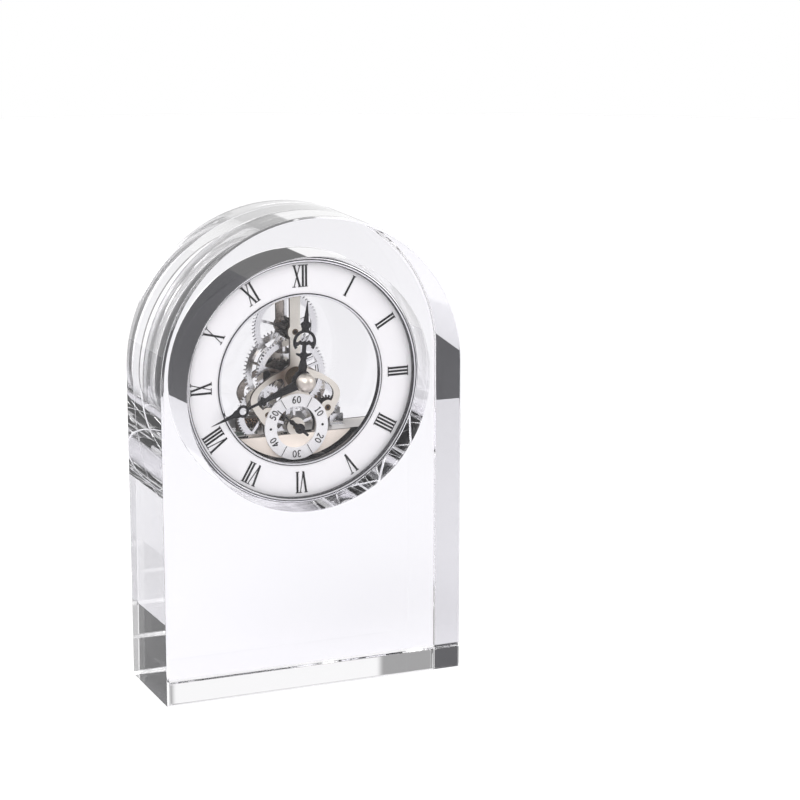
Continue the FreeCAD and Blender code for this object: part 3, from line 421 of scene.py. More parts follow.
@dataclass(frozen=True)
class Moulded:
    """Plastic, lacquer or print with a faint mottle, and optionally a pale painted reflection on faces
    that look up.
    """

    name: str
    colour: Colour
    shade: Colour
    roughness: float
    scale: float = 900.0
    coat: float = 0.0
    relief: float = 0.04
    depth: float = 0.04 * MM
    # Painted reflection: pale colour for faces that look up.
    painted_top_reflection: Optional[Colour] = None
    gloss: float = 0.5

    def make(self) -> bpy.types.Material:
        """Build the material."""
        graph = Graph.named(self.name)
        texture = graph.noise(graph.place(), self.scale, 3.0, 0.6)
        colour = graph.ramp(texture, [(0.25, self.shade), (0.75, self.colour)])
        # Painted reflection: faces that look up take the pale colour.
        if self.painted_top_reflection is not None:
            colour = graph.mix(graph.facing(Axis.UPWARD), colour, self.painted_top_reflection)
        rough = texture * (self.roughness * 0.4) + self.roughness * 0.8
        return graph.finish(graph.shader({
            "Base Color": colour, "Roughness": rough, "Coat Weight": self.coat,
            "Specular IOR Level": self.gloss, "Normal": graph.bump(texture, self.relief, self.depth),
        }))


@dataclass(frozen=True)
class ClearBody:
    """Glass or clear plastic that lets light in to what it holds, frosted white past a depth."""

    name: str
    ior: float
    tint: Colour
    tint_low: Colour
    roughness: float = 0.0
    frost_from: Optional[float] = None
    frost_fade: float = 0.3 * MM

    def make(self) -> bpy.types.Material:
        """Build the material: refracting to the eye, clear to shadow and diffuse rays."""
        graph = Graph.named(self.name)
        texture = graph.noise(graph.place(), 30.0, 2.0, 0.5)
        colour = graph.ramp(texture, [(0.2, self.tint_low), (0.8, self.tint)])
        body = graph.shader({
            "Base Color": colour, "Roughness": self.roughness, "IOR": self.ior,
            "Transmission Weight": 1.0,
        })
        if self.frost_from is not None:
            frost = graph.shader({"Base Color": colour, "Roughness": texture * 0.2 + 0.4})
            _, y, _ = graph.axes()
            rear = y.step(self.frost_from - self.frost_fade, self.frost_from + self.frost_fade)
            body = graph.blend(rear, body, frost)
        clear = graph.node("ShaderNodeBsdfTransparent", {}, {"Color": rgba(self.tint)})
        passing = (graph.ray("Is Shadow Ray") + graph.ray("Is Diffuse Ray")).clamp()
        return graph.finish(graph.blend(passing, body, clear))


@dataclass(frozen=True)
class PlateNickel:
    """Brushed warm nickel of the front plate: champagne bar, darker near the hub on its left, peach
    apron, painted shade on faces that stand along Y.

    Heights and radii are measured from the dial's centre.
    """

    name: str
    nickel: Colour
    champagne: Colour
    # Dark colour: used near the hub and for the painted shade of side faces.
    bronze: Colour
    peach: Colour
    apron_top: float = -21.2 * MM
    apron_fade: float = 0.2 * MM
    bar: Span = (4.0 * MM, 12.0 * MM)
    hub: Span = (4.0 * MM, 14.0 * MM)
    hub_left: Span = (-2.0 * MM, 6.0 * MM)
    # Painted shade: share of the dark colour that side faces take.
    painted_side_shade: float = 0.25
    metallic: float = 0.6
    brush: Tuple[float, float, float] = (60, 60, 4200)
    depth: float = 0.04 * MM

    def make(self) -> bpy.types.Material:
        """Build the material from the height on the plate and the distance to the hub."""
        graph = Graph.named(self.name)
        texture = graph.noise(graph.place(self.brush), 1.0, 4.0, 0.6)
        x, _, z = graph.axes(DIAL_CENTRE)
        # Darker near the hub, on its left.
        near = (1.0 - graph.reach(DIAL_CENTRE).step(*self.hub)) * (x * -1.0).step(*self.hub_left)
        base = graph.mix(z.step(*self.bar), self.nickel, self.champagne)
        base = graph.mix(near, base, self.bronze)
        low = 1.0 - z.step(self.apron_top - self.apron_fade, self.apron_top + self.apron_fade)
        base = graph.mix(low, base, self.peach)
        # Painted shade: faces that stand along Y take the dark colour, less on the apron.
        side = graph.sideways() * (1.0 - low * 0.6)
        base = graph.mix(side, base, tinted(self.bronze, self.painted_side_shade))
        streak = graph.ramp(texture, [(0.3, (0.9, 0.9, 0.9)), (0.7, (1.0, 1.0, 1.0))])
        colour = graph.node("ShaderNodeMix", {"data_type": "RGBA", "blend_type": "MULTIPLY"},
                            {0: 1.0, 6: base, 7: streak}, 2)
        return graph.finish(graph.shader({
            "Base Color": colour, "Metallic": self.metallic - low * self.metallic,
            "Roughness": texture * 0.14 + 0.36, "Normal": graph.bump(texture, 0.08, self.depth),
        }))


@dataclass(frozen=True)
class CellSleeve:
    """Printed sleeve of the cell: dark with a pale end band and bare steel rims."""

    name: str
    dark: Colour
    band: Colour
    steel: Colour
    band_start: float = 10.0 * MM
    band_fade: float = 0.2 * MM
    rim_start: float = 21.5 * MM
    rim_fade: float = 0.1 * MM
    depth: float = 0.03 * MM

    def make(self) -> bpy.types.Material:
        """Build the material from the place along the cell."""
        graph = Graph.named(self.name)
        x, _, _ = graph.axes()
        texture = graph.noise(graph.place(), 700.0, 2.0, 0.5)
        pale = x.step(self.band_start - self.band_fade, self.band_start + self.band_fade)
        bare = x.absolute().step(self.rim_start - self.rim_fade, self.rim_start + self.rim_fade)
        colour = graph.mix(bare, graph.mix(pale, self.dark, self.band), self.steel)
        return graph.finish(graph.shader({
            "Base Color": colour, "Metallic": bare, "Roughness": texture * 0.1 + 0.25,
            "Normal": graph.bump(texture, 0.03, self.depth),
        }))


@dataclass(frozen=True)
class BoardLaminate:
    """Green circuit board with paler tracks."""

    name: str
    green: Colour
    track: Colour
    pitch: float = 900.0
    track_width: float = 0.12
    depth: float = 0.05 * MM

    def make(self) -> bpy.types.Material:
        """Build the material from a fine brick pattern."""
        graph = Graph.named(self.name)
        spot = graph.place((self.pitch, self.pitch, self.pitch))
        green = rgba(self.green)
        pattern = graph.node("ShaderNodeTexBrick", {}, {
            "Vector": spot, "Scale": 1.0, "Mortar Size": self.track_width, "Color1": green,
            "Color2": green, "Mortar": rgba(self.track),
        })
        grain = graph.noise(spot, 1.0, 2.0)
        return graph.finish(graph.shader({
            "Base Color": pattern, "Roughness": grain * 0.2 + 0.3,
            "Normal": graph.bump(grain, 0.1, self.depth),
        }))


def mesh_piece(name: str, points: np.ndarray, faces: List[Tuple[int, ...]], smooth_angle: float,
               material: bpy.types.Material, body: str) -> bpy.types.Object:
    """Make a mesh object that rides on a body.

    Args:
        name: Piece name.
        points: Array of points in metres.
        faces: Corner numbers of each face.
        smooth_angle: Edges sharper than this, in degrees, stay sharp.
        material: Its finish.
        body: Body that it moves with.

    Returns:
        The new object.
    """
    mesh = bpy.data.meshes.new(name)
    mesh.from_pydata(points.tolist(), [], faces)
    work = bmesh.new()
    work.from_mesh(mesh)
    bmesh.ops.recalc_face_normals(work, faces=work.faces)
    work.to_mesh(mesh)
    work.free()
    mesh.polygons.foreach_set("use_smooth", np.ones(len(mesh.polygons), dtype=bool))
    mesh.set_sharp_from_angle(angle=math.radians(smooth_angle))
    mesh.materials.append(material)
    piece = bpy.data.objects.new(name, mesh)
    bpy.context.scene.collection.objects.link(piece)
    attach(piece, body)
    return piece


def lathe(profile: Sequence[Span], centre: Span,
          turns: int) -> Tuple[np.ndarray, List[Tuple[int, ...]]]:
    """Closed ring turned about a line along Y.

    The point at angle a and profile place (r, y) is (cx + r sin a, y, cz + r cos a).

    Args:
        profile: Closed list of radius and depth, in metres, clockwise when radius runs right.
        centre: X and Z of the axis.
        turns: Steps round the axis.

    Returns:
        Points and faces.
    """
    radius, depth = np.array(profile).T
    angle = np.linspace(0, 2 * np.pi, turns, endpoint=False)[:, None]
    rows = np.stack([
        centre[0] + radius * np.sin(angle), np.broadcast_to(depth, (turns, len(depth))),
        centre[1] + radius * np.cos(angle),
    ], axis=-1)
    return rows.reshape(-1, 3), grid_faces(turns, len(profile), True, True)


def grid_faces(rows: int, columns: int, wrap_rows: bool, wrap_columns: bool) -> List[Tuple[int, ...]]:
    """Quads of a grid of points.

    Args:
        rows: Count of rows.
        columns: Points in each row.
        wrap_rows: Join the last row to the first.
        wrap_columns: Join the last column to the first.

    Returns:
        Four corner numbers for each quad.
    """
    row = np.arange(rows if wrap_rows else rows - 1)[:, None]
    column = np.arange(columns if wrap_columns else columns - 1)[None, :]
    down, right = (row + 1) % rows, (column + 1) % columns
    corners = np.stack(np.broadcast_arrays(
        row * columns + column, down * columns + column, down * columns + right, row * columns + right,
    ), axis=-1)
    return [tuple(quad) for quad in corners.reshape(-1, 4).tolist()]


def rounded(radius_low: float, radius_high: float, depth_low: float, depth_high: float,
            fillet: float, steps: int) -> List[Tuple[float, float]]:
    """Rectangular section with rounded corners.

    Args:
        radius_low: Inner radius in metres.
        radius_high: Outer radius.
        depth_low: Front.
        depth_high: Back.
        fillet: Radius of the corners.
        steps: Points on each corner.

    Returns:
        Closed list of radius and depth.
    """
    corners = [(radius_high, depth_high, 0), (radius_low, depth_high, 90),
               (radius_low, depth_low, 180), (radius_high, depth_low, 270)]
    section = []
    for radius, depth, start in corners:
        middle_r = radius - fillet if radius == radius_high else radius + fillet
        middle_d = depth - fillet if depth == depth_high else depth + fillet
        for turn in np.radians(np.linspace(start, start + 90, steps)):
            section.append((middle_r + fillet * math.cos(turn), middle_d + fillet * math.sin(turn)))
    return section


@dataclass
class Finishes:
    """Every finish of the clock, made once."""

    made: Dict[str, bpy.types.Material] = field(default_factory=dict)

    def build(self) -> None:
        """Make all the materials."""
        # Colour of the painted shade bands on the chrome rings.
        painted_line_grey = (0.02, 0.02, 0.025)
        recipes: List[Any] = [
            ClearBody("cut crystal", 1.52, (0.995, 0.99, 1.0), (0.985, 0.98, 0.992)),
            ClearBody("clear plastic", 1.46, (0.998, 0.998, 0.998), (0.985, 0.985, 0.985), 0.01),
            ClearBody("frosted plastic", 1.46, (0.98, 0.98, 0.98), (0.95, 0.95, 0.95), 0.02,
                      frost_from=12.5 * MM),
            ClearBody("silicone", 1.41, (0.98, 0.98, 0.98), (0.95, 0.95, 0.955), 0.1),
            ChromeWithPaintedShadeLines("bezel chrome", (0.95, 0.95, 0.96), painted_line_grey,
                          ((43.1 * MM, 43.6 * MM), (44.1 * MM, 44.5 * MM), (44.85 * MM, 46.0 * MM))),
            ChromeWithPaintedShadeLines("rim chrome", (0.93, 0.93, 0.94), painted_line_grey,
                          ((30.0 * MM, 30.88 * MM), (31.4 * MM, 32.0 * MM))),
            # Satin silver, bright nickel and rear nickel carry painted shade on their side and rear
            # faces.
            Metal("satin silver", (0.93, 0.925, 0.93), (0.88, 0.875, 0.88), 0.45, Grain.SATIN,
                  metallic=0.2, relief=0.15, back=0.03),
            Metal("bright nickel", (0.96, 0.96, 0.96), (0.9, 0.9, 0.91), 0.14, Grain.BRUSHED_ROUND,
                  painted_side_shade=0.7),
            Metal("satin nickel", srgb(232, 224, 214), srgb(214, 206, 196), 0.34, Grain.SATIN),
            Metal("dark steel", srgb(74, 64, 58), srgb(36, 31, 28), 0.28, Grain.BRUSHED_ACROSS),
            Metal("rear nickel", srgb(206, 198, 190), srgb(150, 140, 132), 0.25,
                  Grain.BRUSHED_ACROSS, metallic=0.8, painted_side_shade=0.3),
            Metal("bush bronze", srgb(120, 100, 74), srgb(84, 68, 50), 0.35, Grain.SATIN),
            Metal("magnet grey", (0.22, 0.22, 0.23), (0.14, 0.14, 0.15), 0.45, Grain.SATIN),
            Metal("stator iron", (0.6, 0.6, 0.61), (0.5, 0.5, 0.51), 0.35, Grain.BRUSHED_ACROSS),
            Metal("coil copper", srgb(150, 122, 100), srgb(104, 82, 64), 0.25, Grain.SATIN),
            Moulded("black print", srgb(20, 19, 22), srgb(13, 13, 15), 0.45, gloss=0.3),
            Moulded("black lacquer", srgb(18, 16, 20), srgb(12, 11, 14), 0.42, gloss=0.2),
            # Glossy black gets a pale painted reflection on its upward faces.
            Moulded("glossy black", srgb(30, 30, 32), srgb(22, 22, 24), 0.12, scale=500.0, coat=0.4,
                    painted_top_reflection=srgb(240, 236, 232)),
            Moulded("dark moulding", srgb(52, 44, 38), srgb(40, 34, 30), 0.4),
            Moulded("black epoxy", srgb(24, 24, 24), srgb(16, 16, 16), 0.5),
            Moulded("knob black", srgb(40, 40, 42), srgb(28, 28, 30), 0.5, scale=2200.0, relief=0.2),
            PlateNickel("plate nickel", srgb(240, 234, 224), srgb(255, 250, 240), srgb(96, 72, 52),
                        srgb(255, 244, 232)),
            CellSleeve("cell sleeve", srgb(34, 40, 48), srgb(196, 170, 110), (0.7, 0.7, 0.7)),
            BoardLaminate("green laminate", srgb(42, 52, 46), srgb(90, 100, 92)),
        ]
        for recipe in recipes:
            self.made[recipe.name] = recipe.make()

    def dress(self, finish: str, nodes: Sequence[str]) -> None:
        """Give one finish to some frame nodes.

        Args:
            finish: Name of the finish.
            nodes: Names of the nodes.
        """
        for node in nodes:
            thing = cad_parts[node]
            thing.data.materials.clear()
            thing.data.materials.append(self.made[finish])


@dataclass
class CrystalCase:
    """Arched crystal block with its drum bore."""

    finishes: Finishes
    chamfer: float = 0.75 * MM
    edge: float = 0.2 * MM
    edge_steps: int = 5
    guard: float = 1.4
    wall: float = 6.8 * MM
    bore: float = 46.7 * MM
    dial: float = DIAL_HEIGHT
    steps: int = 720
    smooth_angle: float = 35.0

    def outline(self, inset: float, angle: np.ndarray) -> np.ndarray:
        """Distance from the dial's centre to the arched outline, drawn in by an inset.

        Below the spring line it is the nearer of the side and the base; above it, the arch's circle.

        Args:
            inset: How far the outline is drawn in, in metres.
            angle: Angles round the dial's centre, from straight up.

        Returns:
            The distance at each angle.
        """
        low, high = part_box("crystal_body")
        half = high.x - inset
        rise = high.z - high.x - self.dial
        base = self.dial - low.z - inset
        across, up = np.sin(angle), np.cos(angle)
        tiny = np.finfo(float).eps
        side = half / np.maximum(np.abs(across), tiny)
        foot = np.where(up < 0, base / np.maximum(-up, tiny), np.inf)
        straight = np.minimum(side, foot)
        arch = rise * up + np.sqrt(np.maximum((rise * up) ** 2 + half ** 2 - rise ** 2, 0))
        return np.where(straight * up > rise, arch, straight)

    def angles(self) -> np.ndarray:
        """Angles round the dial's centre, with the two foot corners among them."""
        low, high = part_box("crystal_body")
        even = np.linspace(0, 2 * np.pi, self.steps, endpoint=False)
        corners = []
        for inset in (0.0, self.chamfer):
            turn = math.pi - math.atan2(high.x - inset, self.dial - low.z - inset)
            corners += [turn, 2 * math.pi - turn]
        return np.unique(np.concatenate([even, corners]))

    def corners(self, front: float, back: float) -> List[Tuple[bool, Span, Span, Span]]:
        """Corners of the section from the front face over the outside and down the bore.

        Args:
            front: Depth of the front face.
            back: Depth of the back face.

        Returns:
            Whether the corner follows the outline, its place across and in depth, and the directions in
            which the section comes and goes. Across is minus the inset on the outline and the radius in
            the bore.
        """
        slant = math.sqrt(0.5)
        out, inward, deeper, nearer = (1.0, 0.0), (-1.0, 0.0), (0.0, 1.0), (0.0, -1.0)
        rise, fall = (slant, slant), (-slant, slant)
        return [
            (True, (-self.chamfer, front), out, rise),
            (True, (0.0, front + self.chamfer), rise, deeper),
            (True, (0.0, back - self.chamfer), deeper, fall),
            (True, (-self.chamfer, back), fall, inward),
            (False, (self.bore, back), inward, nearer),
            (False, (self.bore, front + self.wall), nearer, inward),
        ]

    def soften(self, before: Span, after: Span) -> np.ndarray:
        """Steps round one softened corner, between two guard points that keep the flats flat.

        The curve is (1 - t) squared times the start plus t squared times the end, seen from the corner.

        Args:
            before: Direction in which the section comes.
            after: Direction in which it goes on.

        Returns:
            Steps across and in depth, measured from the corner.
        """
        start, end = -self.edge * np.array(before), self.edge * np.array(after)
        share = np.linspace(0.0, 1.0, self.edge_steps)[:, None]
        curve = (1 - share) ** 2 * start + share ** 2 * end
        return np.vstack([start * self.guard, curve, end * self.guard])

    def build(self) -> None:
        """Make the block: rings of points from the front face's middle round to the bore's floor."""
        low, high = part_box("crystal_body")
        angle = self.angles()
        rings = [self.outline(self.chamfer, angle) * 0.5]
        depths = [low.y]
        for outside, (across, depth), before, after in self.corners(low.y, high.y):
            for step_across, step_depth in self.soften(before, after):
                place = across + step_across
                rings.append(self.outline(-place, angle) if outside else np.full_like(angle, place))
                depths.append(depth + step_depth)
        rings.append(np.full_like(angle, self.bore * 0.5))
        depths.append(low.y + self.wall)
        count = len(angle)
        radius = np.stack(rings)
        depth = np.array(depths)[:, None] + np.zeros(count)
        points = np.stack([radius * np.sin(angle), depth, self.dial + radius * np.cos(angle)], axis=-1)
        points = points.reshape(-1, 3)
        faces = [quad[::-1] for quad in grid_faces(len(rings), count, False, True)]
        front, floor = len(points), len(points) + 1
        points = np.vstack([points, [0, low.y, self.dial], [0, low.y + self.wall, self.dial]])
        last = (len(rings) - 1) * count
        faces += [(i, (i + 1) % count, front) for i in range(count)]
        faces += [(last + (i + 1) % count, last + i, floor) for i in range(count)]
        piece = mesh_piece("crystal", points, faces, self.smooth_angle,
                           self.finishes.made["cut crystal"], "case")
        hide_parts("crystal_body")
        LOG.info("crystal block: %d points", len(points))


@dataclass(frozen=True)
class Ring:
    """Turned ring about the dial's axis that stands for a frame node, or for part of one.

    Sizes are in millimetres. Depths are measured from the node's front. An outer radius or an end of
    None is the node's own.
    """

    name: str
    node: str
    finish: str
    slot: str
    inner: float
    outer: Optional[float]
    start: float
    end: Optional[float]
    fillet: float
    fillet_steps: int
    turns: int = 300
    smooth_angle: float = 40.0

    def build(self, finishes: Finishes) -> None:
        """Turn the ring.

        Args:
            finishes: The finishes, already made.
        """
        low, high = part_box(self.node)
        outer = high.x if self.outer is None else self.outer * MM
        back = high.y if self.end is None else low.y + self.end * MM
        section = rounded(self.inner * MM, outer, low.y + self.start * MM, back,
                          self.fillet * MM, self.fillet_steps)
        points, faces = lathe(section, (0.0, DIAL_HEIGHT), self.turns)
        piece = mesh_piece(self.name, points, faces, self.smooth_angle, finishes.made[self.finish],
                           "case")
        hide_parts(self.node)


@dataclass
class DialGroup:
    """Bezel, dial ring, window rim, drum, grip band and prints."""

    finishes: Finishes
    rings: Tuple[Ring, ...] = (
        Ring("bezel_lip", "bezel_ring", "bezel chrome", "bright_bezel",
             inner=43.2, outer=None, start=0.0, end=2.5, fillet=0.7, fillet_steps=8, turns=360),
        Ring("bezel_skirt", "bezel_ring", "bezel chrome", "bright_bezel",
             inner=44.65, outer=None, start=2.4, end=None, fillet=0.1, fillet_steps=3, turns=360),
        Ring("window_flange", "window_rim", "rim chrome", "bright_bezel",
             inner=30.8, outer=None, start=0.0, end=0.4, fillet=0.18, fillet_steps=5),
        Ring("window_sleeve", "window_rim", "rim chrome", "bright_bezel",
             inner=30.8, outer=31.4, start=0.3, end=None, fillet=0.12, fillet_steps=4),
        Ring("drum", "module_drum", "frosted plastic", "clear_plastic",
             inner=43.0, outer=44.6, start=0.0, end=None, fillet=0.2, fillet_steps=3),
        Ring("band", "grip_band", "silicone", "clear_band",
             inner=44.65, outer=46.6, start=0.0, end=None, fillet=0.5, fillet_steps=4),
    )

    def build(self) -> None:
        """Make the turned rings and dress the flat pieces."""
        for ring in self.rings:
            ring.build(self.finishes)
        self.dress()
        LOG.info("dial group ready")

    def dress(self) -> None:
        """Give the flat pieces their finishes."""
        self.finishes.dress("satin silver", ["chapter_ring", "seconds_dial"])
        self.finishes.dress("black print", ["hour_numerals", "seconds_numerals"])
        self.finishes.dress("clear plastic", ["rear_cover"])


@dataclass
class HandSet:
    """Hands and the ball nut."""

    finishes: Finishes
    radius: float = 3.5 * MM
    collar: float = 1.05 * MM
    hole: float = 0.9 * MM
    recess: float = 0.4 * MM
    ball_steps: int = 40
    ball_start: float = 0.02
    turns: int = 96
    smooth_angle: float = 40.0

    def build(self) -> None:
        """Turn the ball nut and lacquer the hands.

        The ball meets its back where the cosine of the angle is (middle - back) over the radius.
        """
        low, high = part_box("hand_nut")
        centre = (0.5 * (low.x + high.x), 0.5 * (low.z + high.z))
        middle, back = low.y + self.radius, high.y
        end = math.acos(max(-1.0, min(1.0, (middle - back) / self.radius)))
        sweep = np.linspace(self.ball_start, end, self.ball_steps)
        profile = list(zip(self.radius * np.sin(sweep), middle - self.radius * np.cos(sweep)))
        profile += [(self.collar, back), (self.hole, back - self.recess)]
        points, faces = lathe(profile[::-1], centre, self.turns)
        nut = mesh_piece("ball_nut", points, faces, self.smooth_angle,
                         self.finishes.made["satin nickel"], "minute_work")
        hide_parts("hand_nut")
        self.dress()
        LOG.info("hands ready")

    def dress(self) -> None:
        """Lacquer the hands."""
        self.finishes.dress("black lacquer", ["hour_hand", "minute_hand", "seconds_hand"])


@dataclass
class Movement:
    """Plates, wheels, motor and battery group."""

    finishes: Finishes
    dressing: Tuple[Tuple[str, Tuple[str, ...]], ...] = (
        ("plate nickel", ("front_bridge",)),
        ("rear nickel", ("rear_bridge",)),
        ("bright nickel", ("centre_wheel", "motion_wheel", "hour_wheel", "third_wheel",
                           "seconds_wheel", "step_wheel", "bridge_screws", "stator_spacers",
                           "quartz_can", "contact_positive", "contact_negative", "top_pillar",
                           "dial_posts", "rotor_cock")),
        ("dark steel", ("centre_arbor", "cannon_pinion", "motion_pinion", "third_pinion",
                        "seconds_arbor", "step_pinion", "rotor_pinion", "friction_spring")),
        ("bush bronze", ("front_bushes", "rear_bushes", "centre_bush")),
        ("magnet grey", ("rotor_magnet",)),
        ("stator iron", ("stator",)),
        ("dark moulding", ("coil_core",)),
        ("coil copper", ("coil_winding",)),
        ("green laminate", ("circuit_board",)),
        ("black epoxy", ("board_parts",)),
        ("glossy black", ("battery_box", "battery_door")),
        ("cell sleeve", ("battery_cell",)),
        ("knob black", ("set_knob",)),
    )

    def build(self) -> None:
        """Dress the nodes of the movement; their shapes are the frame's own."""
        for finish, nodes in self.dressing:
            self.finishes.dress(finish, nodes)
        LOG.info("movement dressed")


@dataclass(frozen=True)
class Band:
    """Soft-edged range of a value."""

    rise: Span
    fall: Span

    def of(self, value: Socket) -> Socket:
        """Inside the range: the rise at its start times one minus the rise at its end.

        Args:
            value: The value that is tested.

        Returns:
            One inside, zero outside.
        """
        return value.step(*self.rise) * (1.0 - value.step(*self.fall))


@dataclass(frozen=True)
class Flag:
    """Dark patch of the surroundings behind the clock.

    A direction's slope is its x over its y, its level is its z, and its depth is its y.
    """

    slope: Optional[Band]
    level: Band
    depth: Span = (0.0, 0.01)
    weight: float = 1.0

    def shade(self, x: Socket, y: Socket, z: Socket) -> Socket:
        """How dark the patch is in a direction: slope, level and depth, multiplied.

        Args:
            x: The direction's part along X.
            y: Its part along Y.
            z: Its part along Z.

        Returns:
            The weight inside the patch, zero outside.
        """
        dark = self.level.of(z) * y.step(*self.depth) * self.weight
        return dark if self.slope is None else dark * self.slope.of(x / y)


@dataclass(frozen=True)
class Lamp:
    """Square soft lamp that points at the clock."""

    name: str
    spot: Tuple[float, float, float]
    size: float
    power: float
    aim: Tuple[float, float, float] = (0.0, 0.0, 0.09)

    def build(self) -> None:
        """Hang the lamp."""
        light = bpy.data.lights.new(self.name, "AREA")
        light.shape = "SQUARE"
        light.size = self.size
        light.energy = self.power
        thing = bpy.data.objects.new(self.name, light)
        spot = Vector(self.spot)
        turn = (Vector(self.aim) - spot).to_track_quat("-Z", "Y").to_matrix().to_4x4()
        thing.matrix_world = Matrix.Translation(spot) @ turn
        bpy.context.scene.collection.objects.link(thing)


@dataclass(frozen=True)
class Card:
    """Dark card that stands behind the clock; only the glass's inner reflections show it."""

    name: str
    path: Tuple[Span, ...]
    height: float
    darkest: Colour = (0.09, 0.09, 0.096)
    palest: Colour = (0.11, 0.11, 0.117)

    def build(self) -> None:
        """Stand the card on the table along its path."""
        foot = np.array([(x, y, 0.0) for x, y in self.path])
        points = np.concatenate([foot, foot + np.array([0.0, 0.0, self.height])])
        mesh = bpy.data.meshes.new(self.name)
        mesh.from_pydata(points.tolist(), [], grid_faces(2, len(foot), False, False))
        graph = Graph.named(self.name)
        texture = graph.noise(graph.place(), 6.0, 1.0)
        colour = graph.ramp(texture, [(0.3, self.darkest), (0.7, self.palest)])
        card = graph.node("ShaderNodeEmission", {}, {"Color": colour})
        clear = graph.node("ShaderNodeBsdfTransparent", {}, {})
        mirrored = graph.ray("Glossy Depth").clamp() * graph.ray("Transmission Depth").clamp()
        mesh.materials.append(graph.finish(graph.blend(mirrored, clear, card)))
        thing = bpy.data.objects.new(self.name, mesh)
        bpy.context.scene.collection.objects.link(thing)
        thing.visible_camera = False
        thing.visible_shadow = False
        thing.visible_diffuse = False


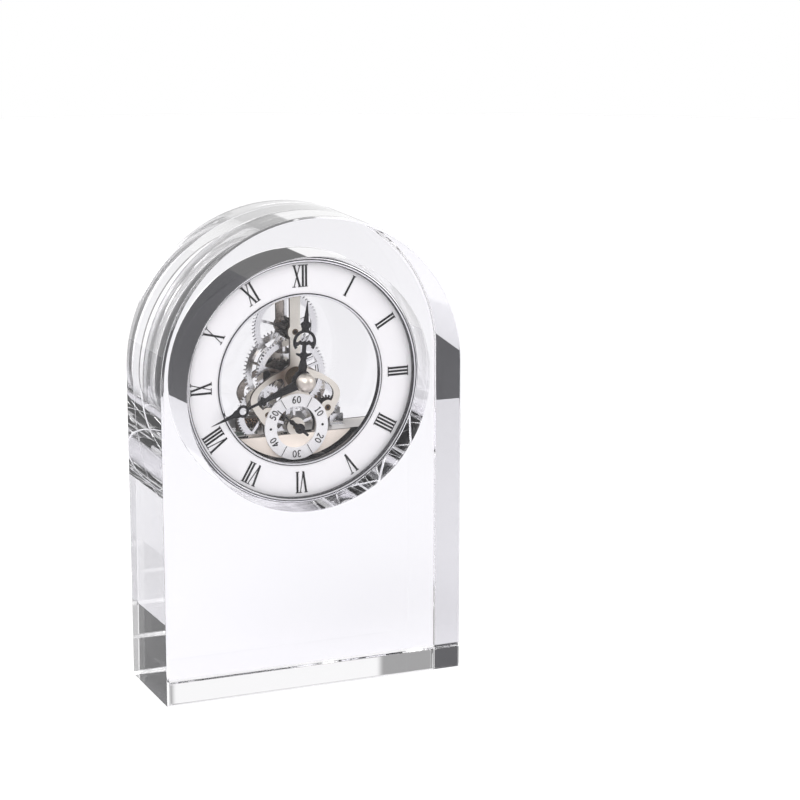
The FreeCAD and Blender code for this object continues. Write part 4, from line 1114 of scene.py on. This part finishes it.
@dataclass
class Studio:
    """Camera, surroundings, table, dark card and soft lamps."""

    azimuth: float = 21.825
    elevation: float = 14.577
    roll: float = -0.303
    distance: float = 970.97 * MM
    target: Tuple[float, float, float] = (9.813 * MM, 0.0, 84.488 * MM)
    focal_pixels: float = 2650.1
    centre_pixels: Tuple[float, float] = (320.0, 448.0)
    frame_pixels: float = 800.0
    sensor: float = 36.0
    clip_end: float = 50.0
    front_light: float = 0.2
    front_through: float = 0.62
    soft_light: float = 0.8
    behind: Span = (-0.25, 0.25)
    overhead: Span = (0.45, 0.7)
    flag_darkness: float = 0.84
    flags: Tuple[Flag, ...] = (
        Flag(Band((-0.12, -0.1), (0.331, 0.335)), Band((0.14, 0.16), (0.5, 0.52))),
        Flag(Band((0.426, 0.43), (0.8, 0.82)), Band((0.14, 0.16), (0.5, 0.52)), weight=0.75),
        Flag(Band((0.329, 0.333), (0.42, 0.44)), Band((0.19, 0.2), (0.27, 0.29))),
        Flag(None, Band((0.53, 0.55), (0.8, 0.82)), depth=(0.1, 0.15)),
    )
    table_reach: float = 1.6
    table_height: float = -0.02 * MM
    table_corners: int = 64
    table_pale: Span = (0.93, 0.95)
    # Painted shade: table colours seen through the glass and in mirrors.
    table_painted_shade_in_glass: Colour = (0.84, 0.835, 0.87)
    table_painted_shade_in_mirrors: Colour = (0.2, 0.2, 0.21)
    table_lift: Colour = (0.1, 0.1, 0.1)
    card: Card = Card("charcoal_card", ((-0.70, 0.30), (-0.30, 0.38), (-0.02, 0.39)), 0.5)
    lamps: Tuple[Lamp, ...] = (
        Lamp("key", (-0.9, -1.1, 1.3), 1.0, 12.0),
        Lamp("fill", (1.1, -0.8, 0.8), 1.0, 5.5),
        Lamp("rim", (-1.1, 0.5, 0.9), 0.7, 8.0),
    )
    bounces: int = 24
    glass_bounces: int = 20
    mirror_bounces: int = 10

    def camera(self) -> None:
        """Aim the camera from the front left, a little above."""
        turn, rise = math.radians(self.azimuth), math.radians(self.elevation)
        level = math.cos(rise)
        back = Vector((-math.sin(turn) * level, -math.cos(turn) * level, math.sin(rise)))
        lens = bpy.data.cameras.new("camera")
        lens.sensor_width = self.sensor
        lens.lens = self.focal_pixels / self.frame_pixels * lens.sensor_width
        lens.clip_end = self.clip_end
        lens.shift_x = (self.frame_pixels / 2 - self.centre_pixels[0]) / self.frame_pixels
        lens.shift_y = (self.centre_pixels[1] - self.frame_pixels / 2) / self.frame_pixels
        camera = bpy.data.objects.new("camera", lens)
        bpy.context.scene.collection.objects.link(camera)
        aim = (-back).to_track_quat("-Z", "Y").to_matrix().to_4x4()
        spot = Matrix.Translation(Vector(self.target) + back * self.distance)
        camera.matrix_world = spot @ aim @ Matrix.Rotation(math.radians(self.roll), 4, "Z")
        bpy.context.scene.camera = camera

    def world(self) -> None:
        """Light from all round.

        The eye sees white. Glass and metal see white behind the clock and grey in front. The glass's
        inner reflections also show dark flags behind, above the picture. Matt surfaces get a plain
        soft light.
        """
        graph = Graph(bpy.data.worlds.new("studio"))
        bpy.context.scene.world = graph.owner
        camera, matt = graph.ray("Is Camera Ray"), graph.ray("Is Diffuse Ray")
        glossy, through = graph.ray("Is Glossy Ray"), graph.ray("Is Transmission Ray")
        mirrored = through * graph.ray("Glossy Depth").clamp()
        x, y, z = graph.split(graph.node("ShaderNodeTexCoord", {}, {}, "Generated"))
        front = through * (self.front_through - self.front_light) + self.front_light
        zone = y.step(*self.behind) * (1.0 - front) + front + z.step(*self.overhead)
        dark: Any = 0.0
        for flag in self.flags:
            dark = flag.shade(x, y, z) + dark
        zone = zone.clamp() * (1.0 - dark.clamp() * mirrored * self.flag_darkness)
        sharp = (glossy + through).clamp() * (1.0 - matt)
        light = sharp * zone + (1.0 - sharp) * self.soft_light
        strength = light * (1.0 - camera) + camera
        white = {"Color": rgba((1.0, 1.0, 1.0)), "Strength": strength}
        graph.finish(graph.node("ShaderNodeBackground", {}, white), "ShaderNodeOutputWorld")

    def floor(self) -> None:
        """Glossy white table under the clock, with painted shade: greyer where seen through the glass,
        dark grey where metal mirrors it.
        """
        angle = np.linspace(0, 2 * np.pi, self.table_corners, endpoint=False)
        rim = np.stack([self.table_reach * np.cos(angle), self.table_reach * np.sin(angle),
                        np.full_like(angle, self.table_height)], axis=-1)
        mesh = bpy.data.meshes.new("table")
        mesh.from_pydata(rim.tolist(), [], [tuple(range(self.table_corners))])
        graph = Graph.named("white table")
        texture = graph.noise(graph.place(), 40.0, 2.0)
        low, high = self.table_pale
        pale = graph.ramp(texture, [(0.3, (low, low, low)), (0.7, (high, high, high))])
        # Painted shade: the table is greyer when seen through the glass and dark grey in reflections.
        inside = graph.ray("Is Transmission Ray")
        pale = graph.mix(inside, pale, self.table_painted_shade_in_glass)
        colour = graph.mix(graph.ray("Is Glossy Ray") * (1.0 - inside), pale, self.table_painted_shade_in_mirrors)
        lift = graph.mix(graph.ray("Is Camera Ray"), (0.0, 0.0, 0.0), self.table_lift)
        mesh.materials.append(graph.finish(graph.shader({
            "Base Color": colour, "Roughness": 0.22, "Coat Weight": 0.4, "Coat Roughness": 0.03,
            "Emission Color": lift, "Emission Strength": 1.0,
        })))
        table = bpy.data.objects.new("table", mesh)
        bpy.context.scene.collection.objects.link(table)

    def build(self) -> None:
        """Set the whole stage."""
        self.camera()
        self.world()
        self.floor()
        self.card.build()
        for lamp in self.lamps:
            lamp.build()
        cycles = bpy.context.scene.cycles
        cycles.max_bounces = self.bounces
        cycles.transparent_max_bounces = self.bounces
        cycles.transmission_bounces = self.glass_bounces
        cycles.glossy_bounces = self.mirror_bounces
        LOG.info("studio ready")


def main() -> None:
    """Build the clock's looks in order."""
    logging.basicConfig(level=logging.INFO)
    bpy.context.scene.view_settings.view_transform = "Standard"
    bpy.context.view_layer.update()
    finishes = Finishes()
    finishes.build()
    for part in (CrystalCase(finishes), DialGroup(finishes), HandSet(finishes), Movement(finishes),
                 Studio()):
        part.build()


if __name__ == "__main__":
    main()
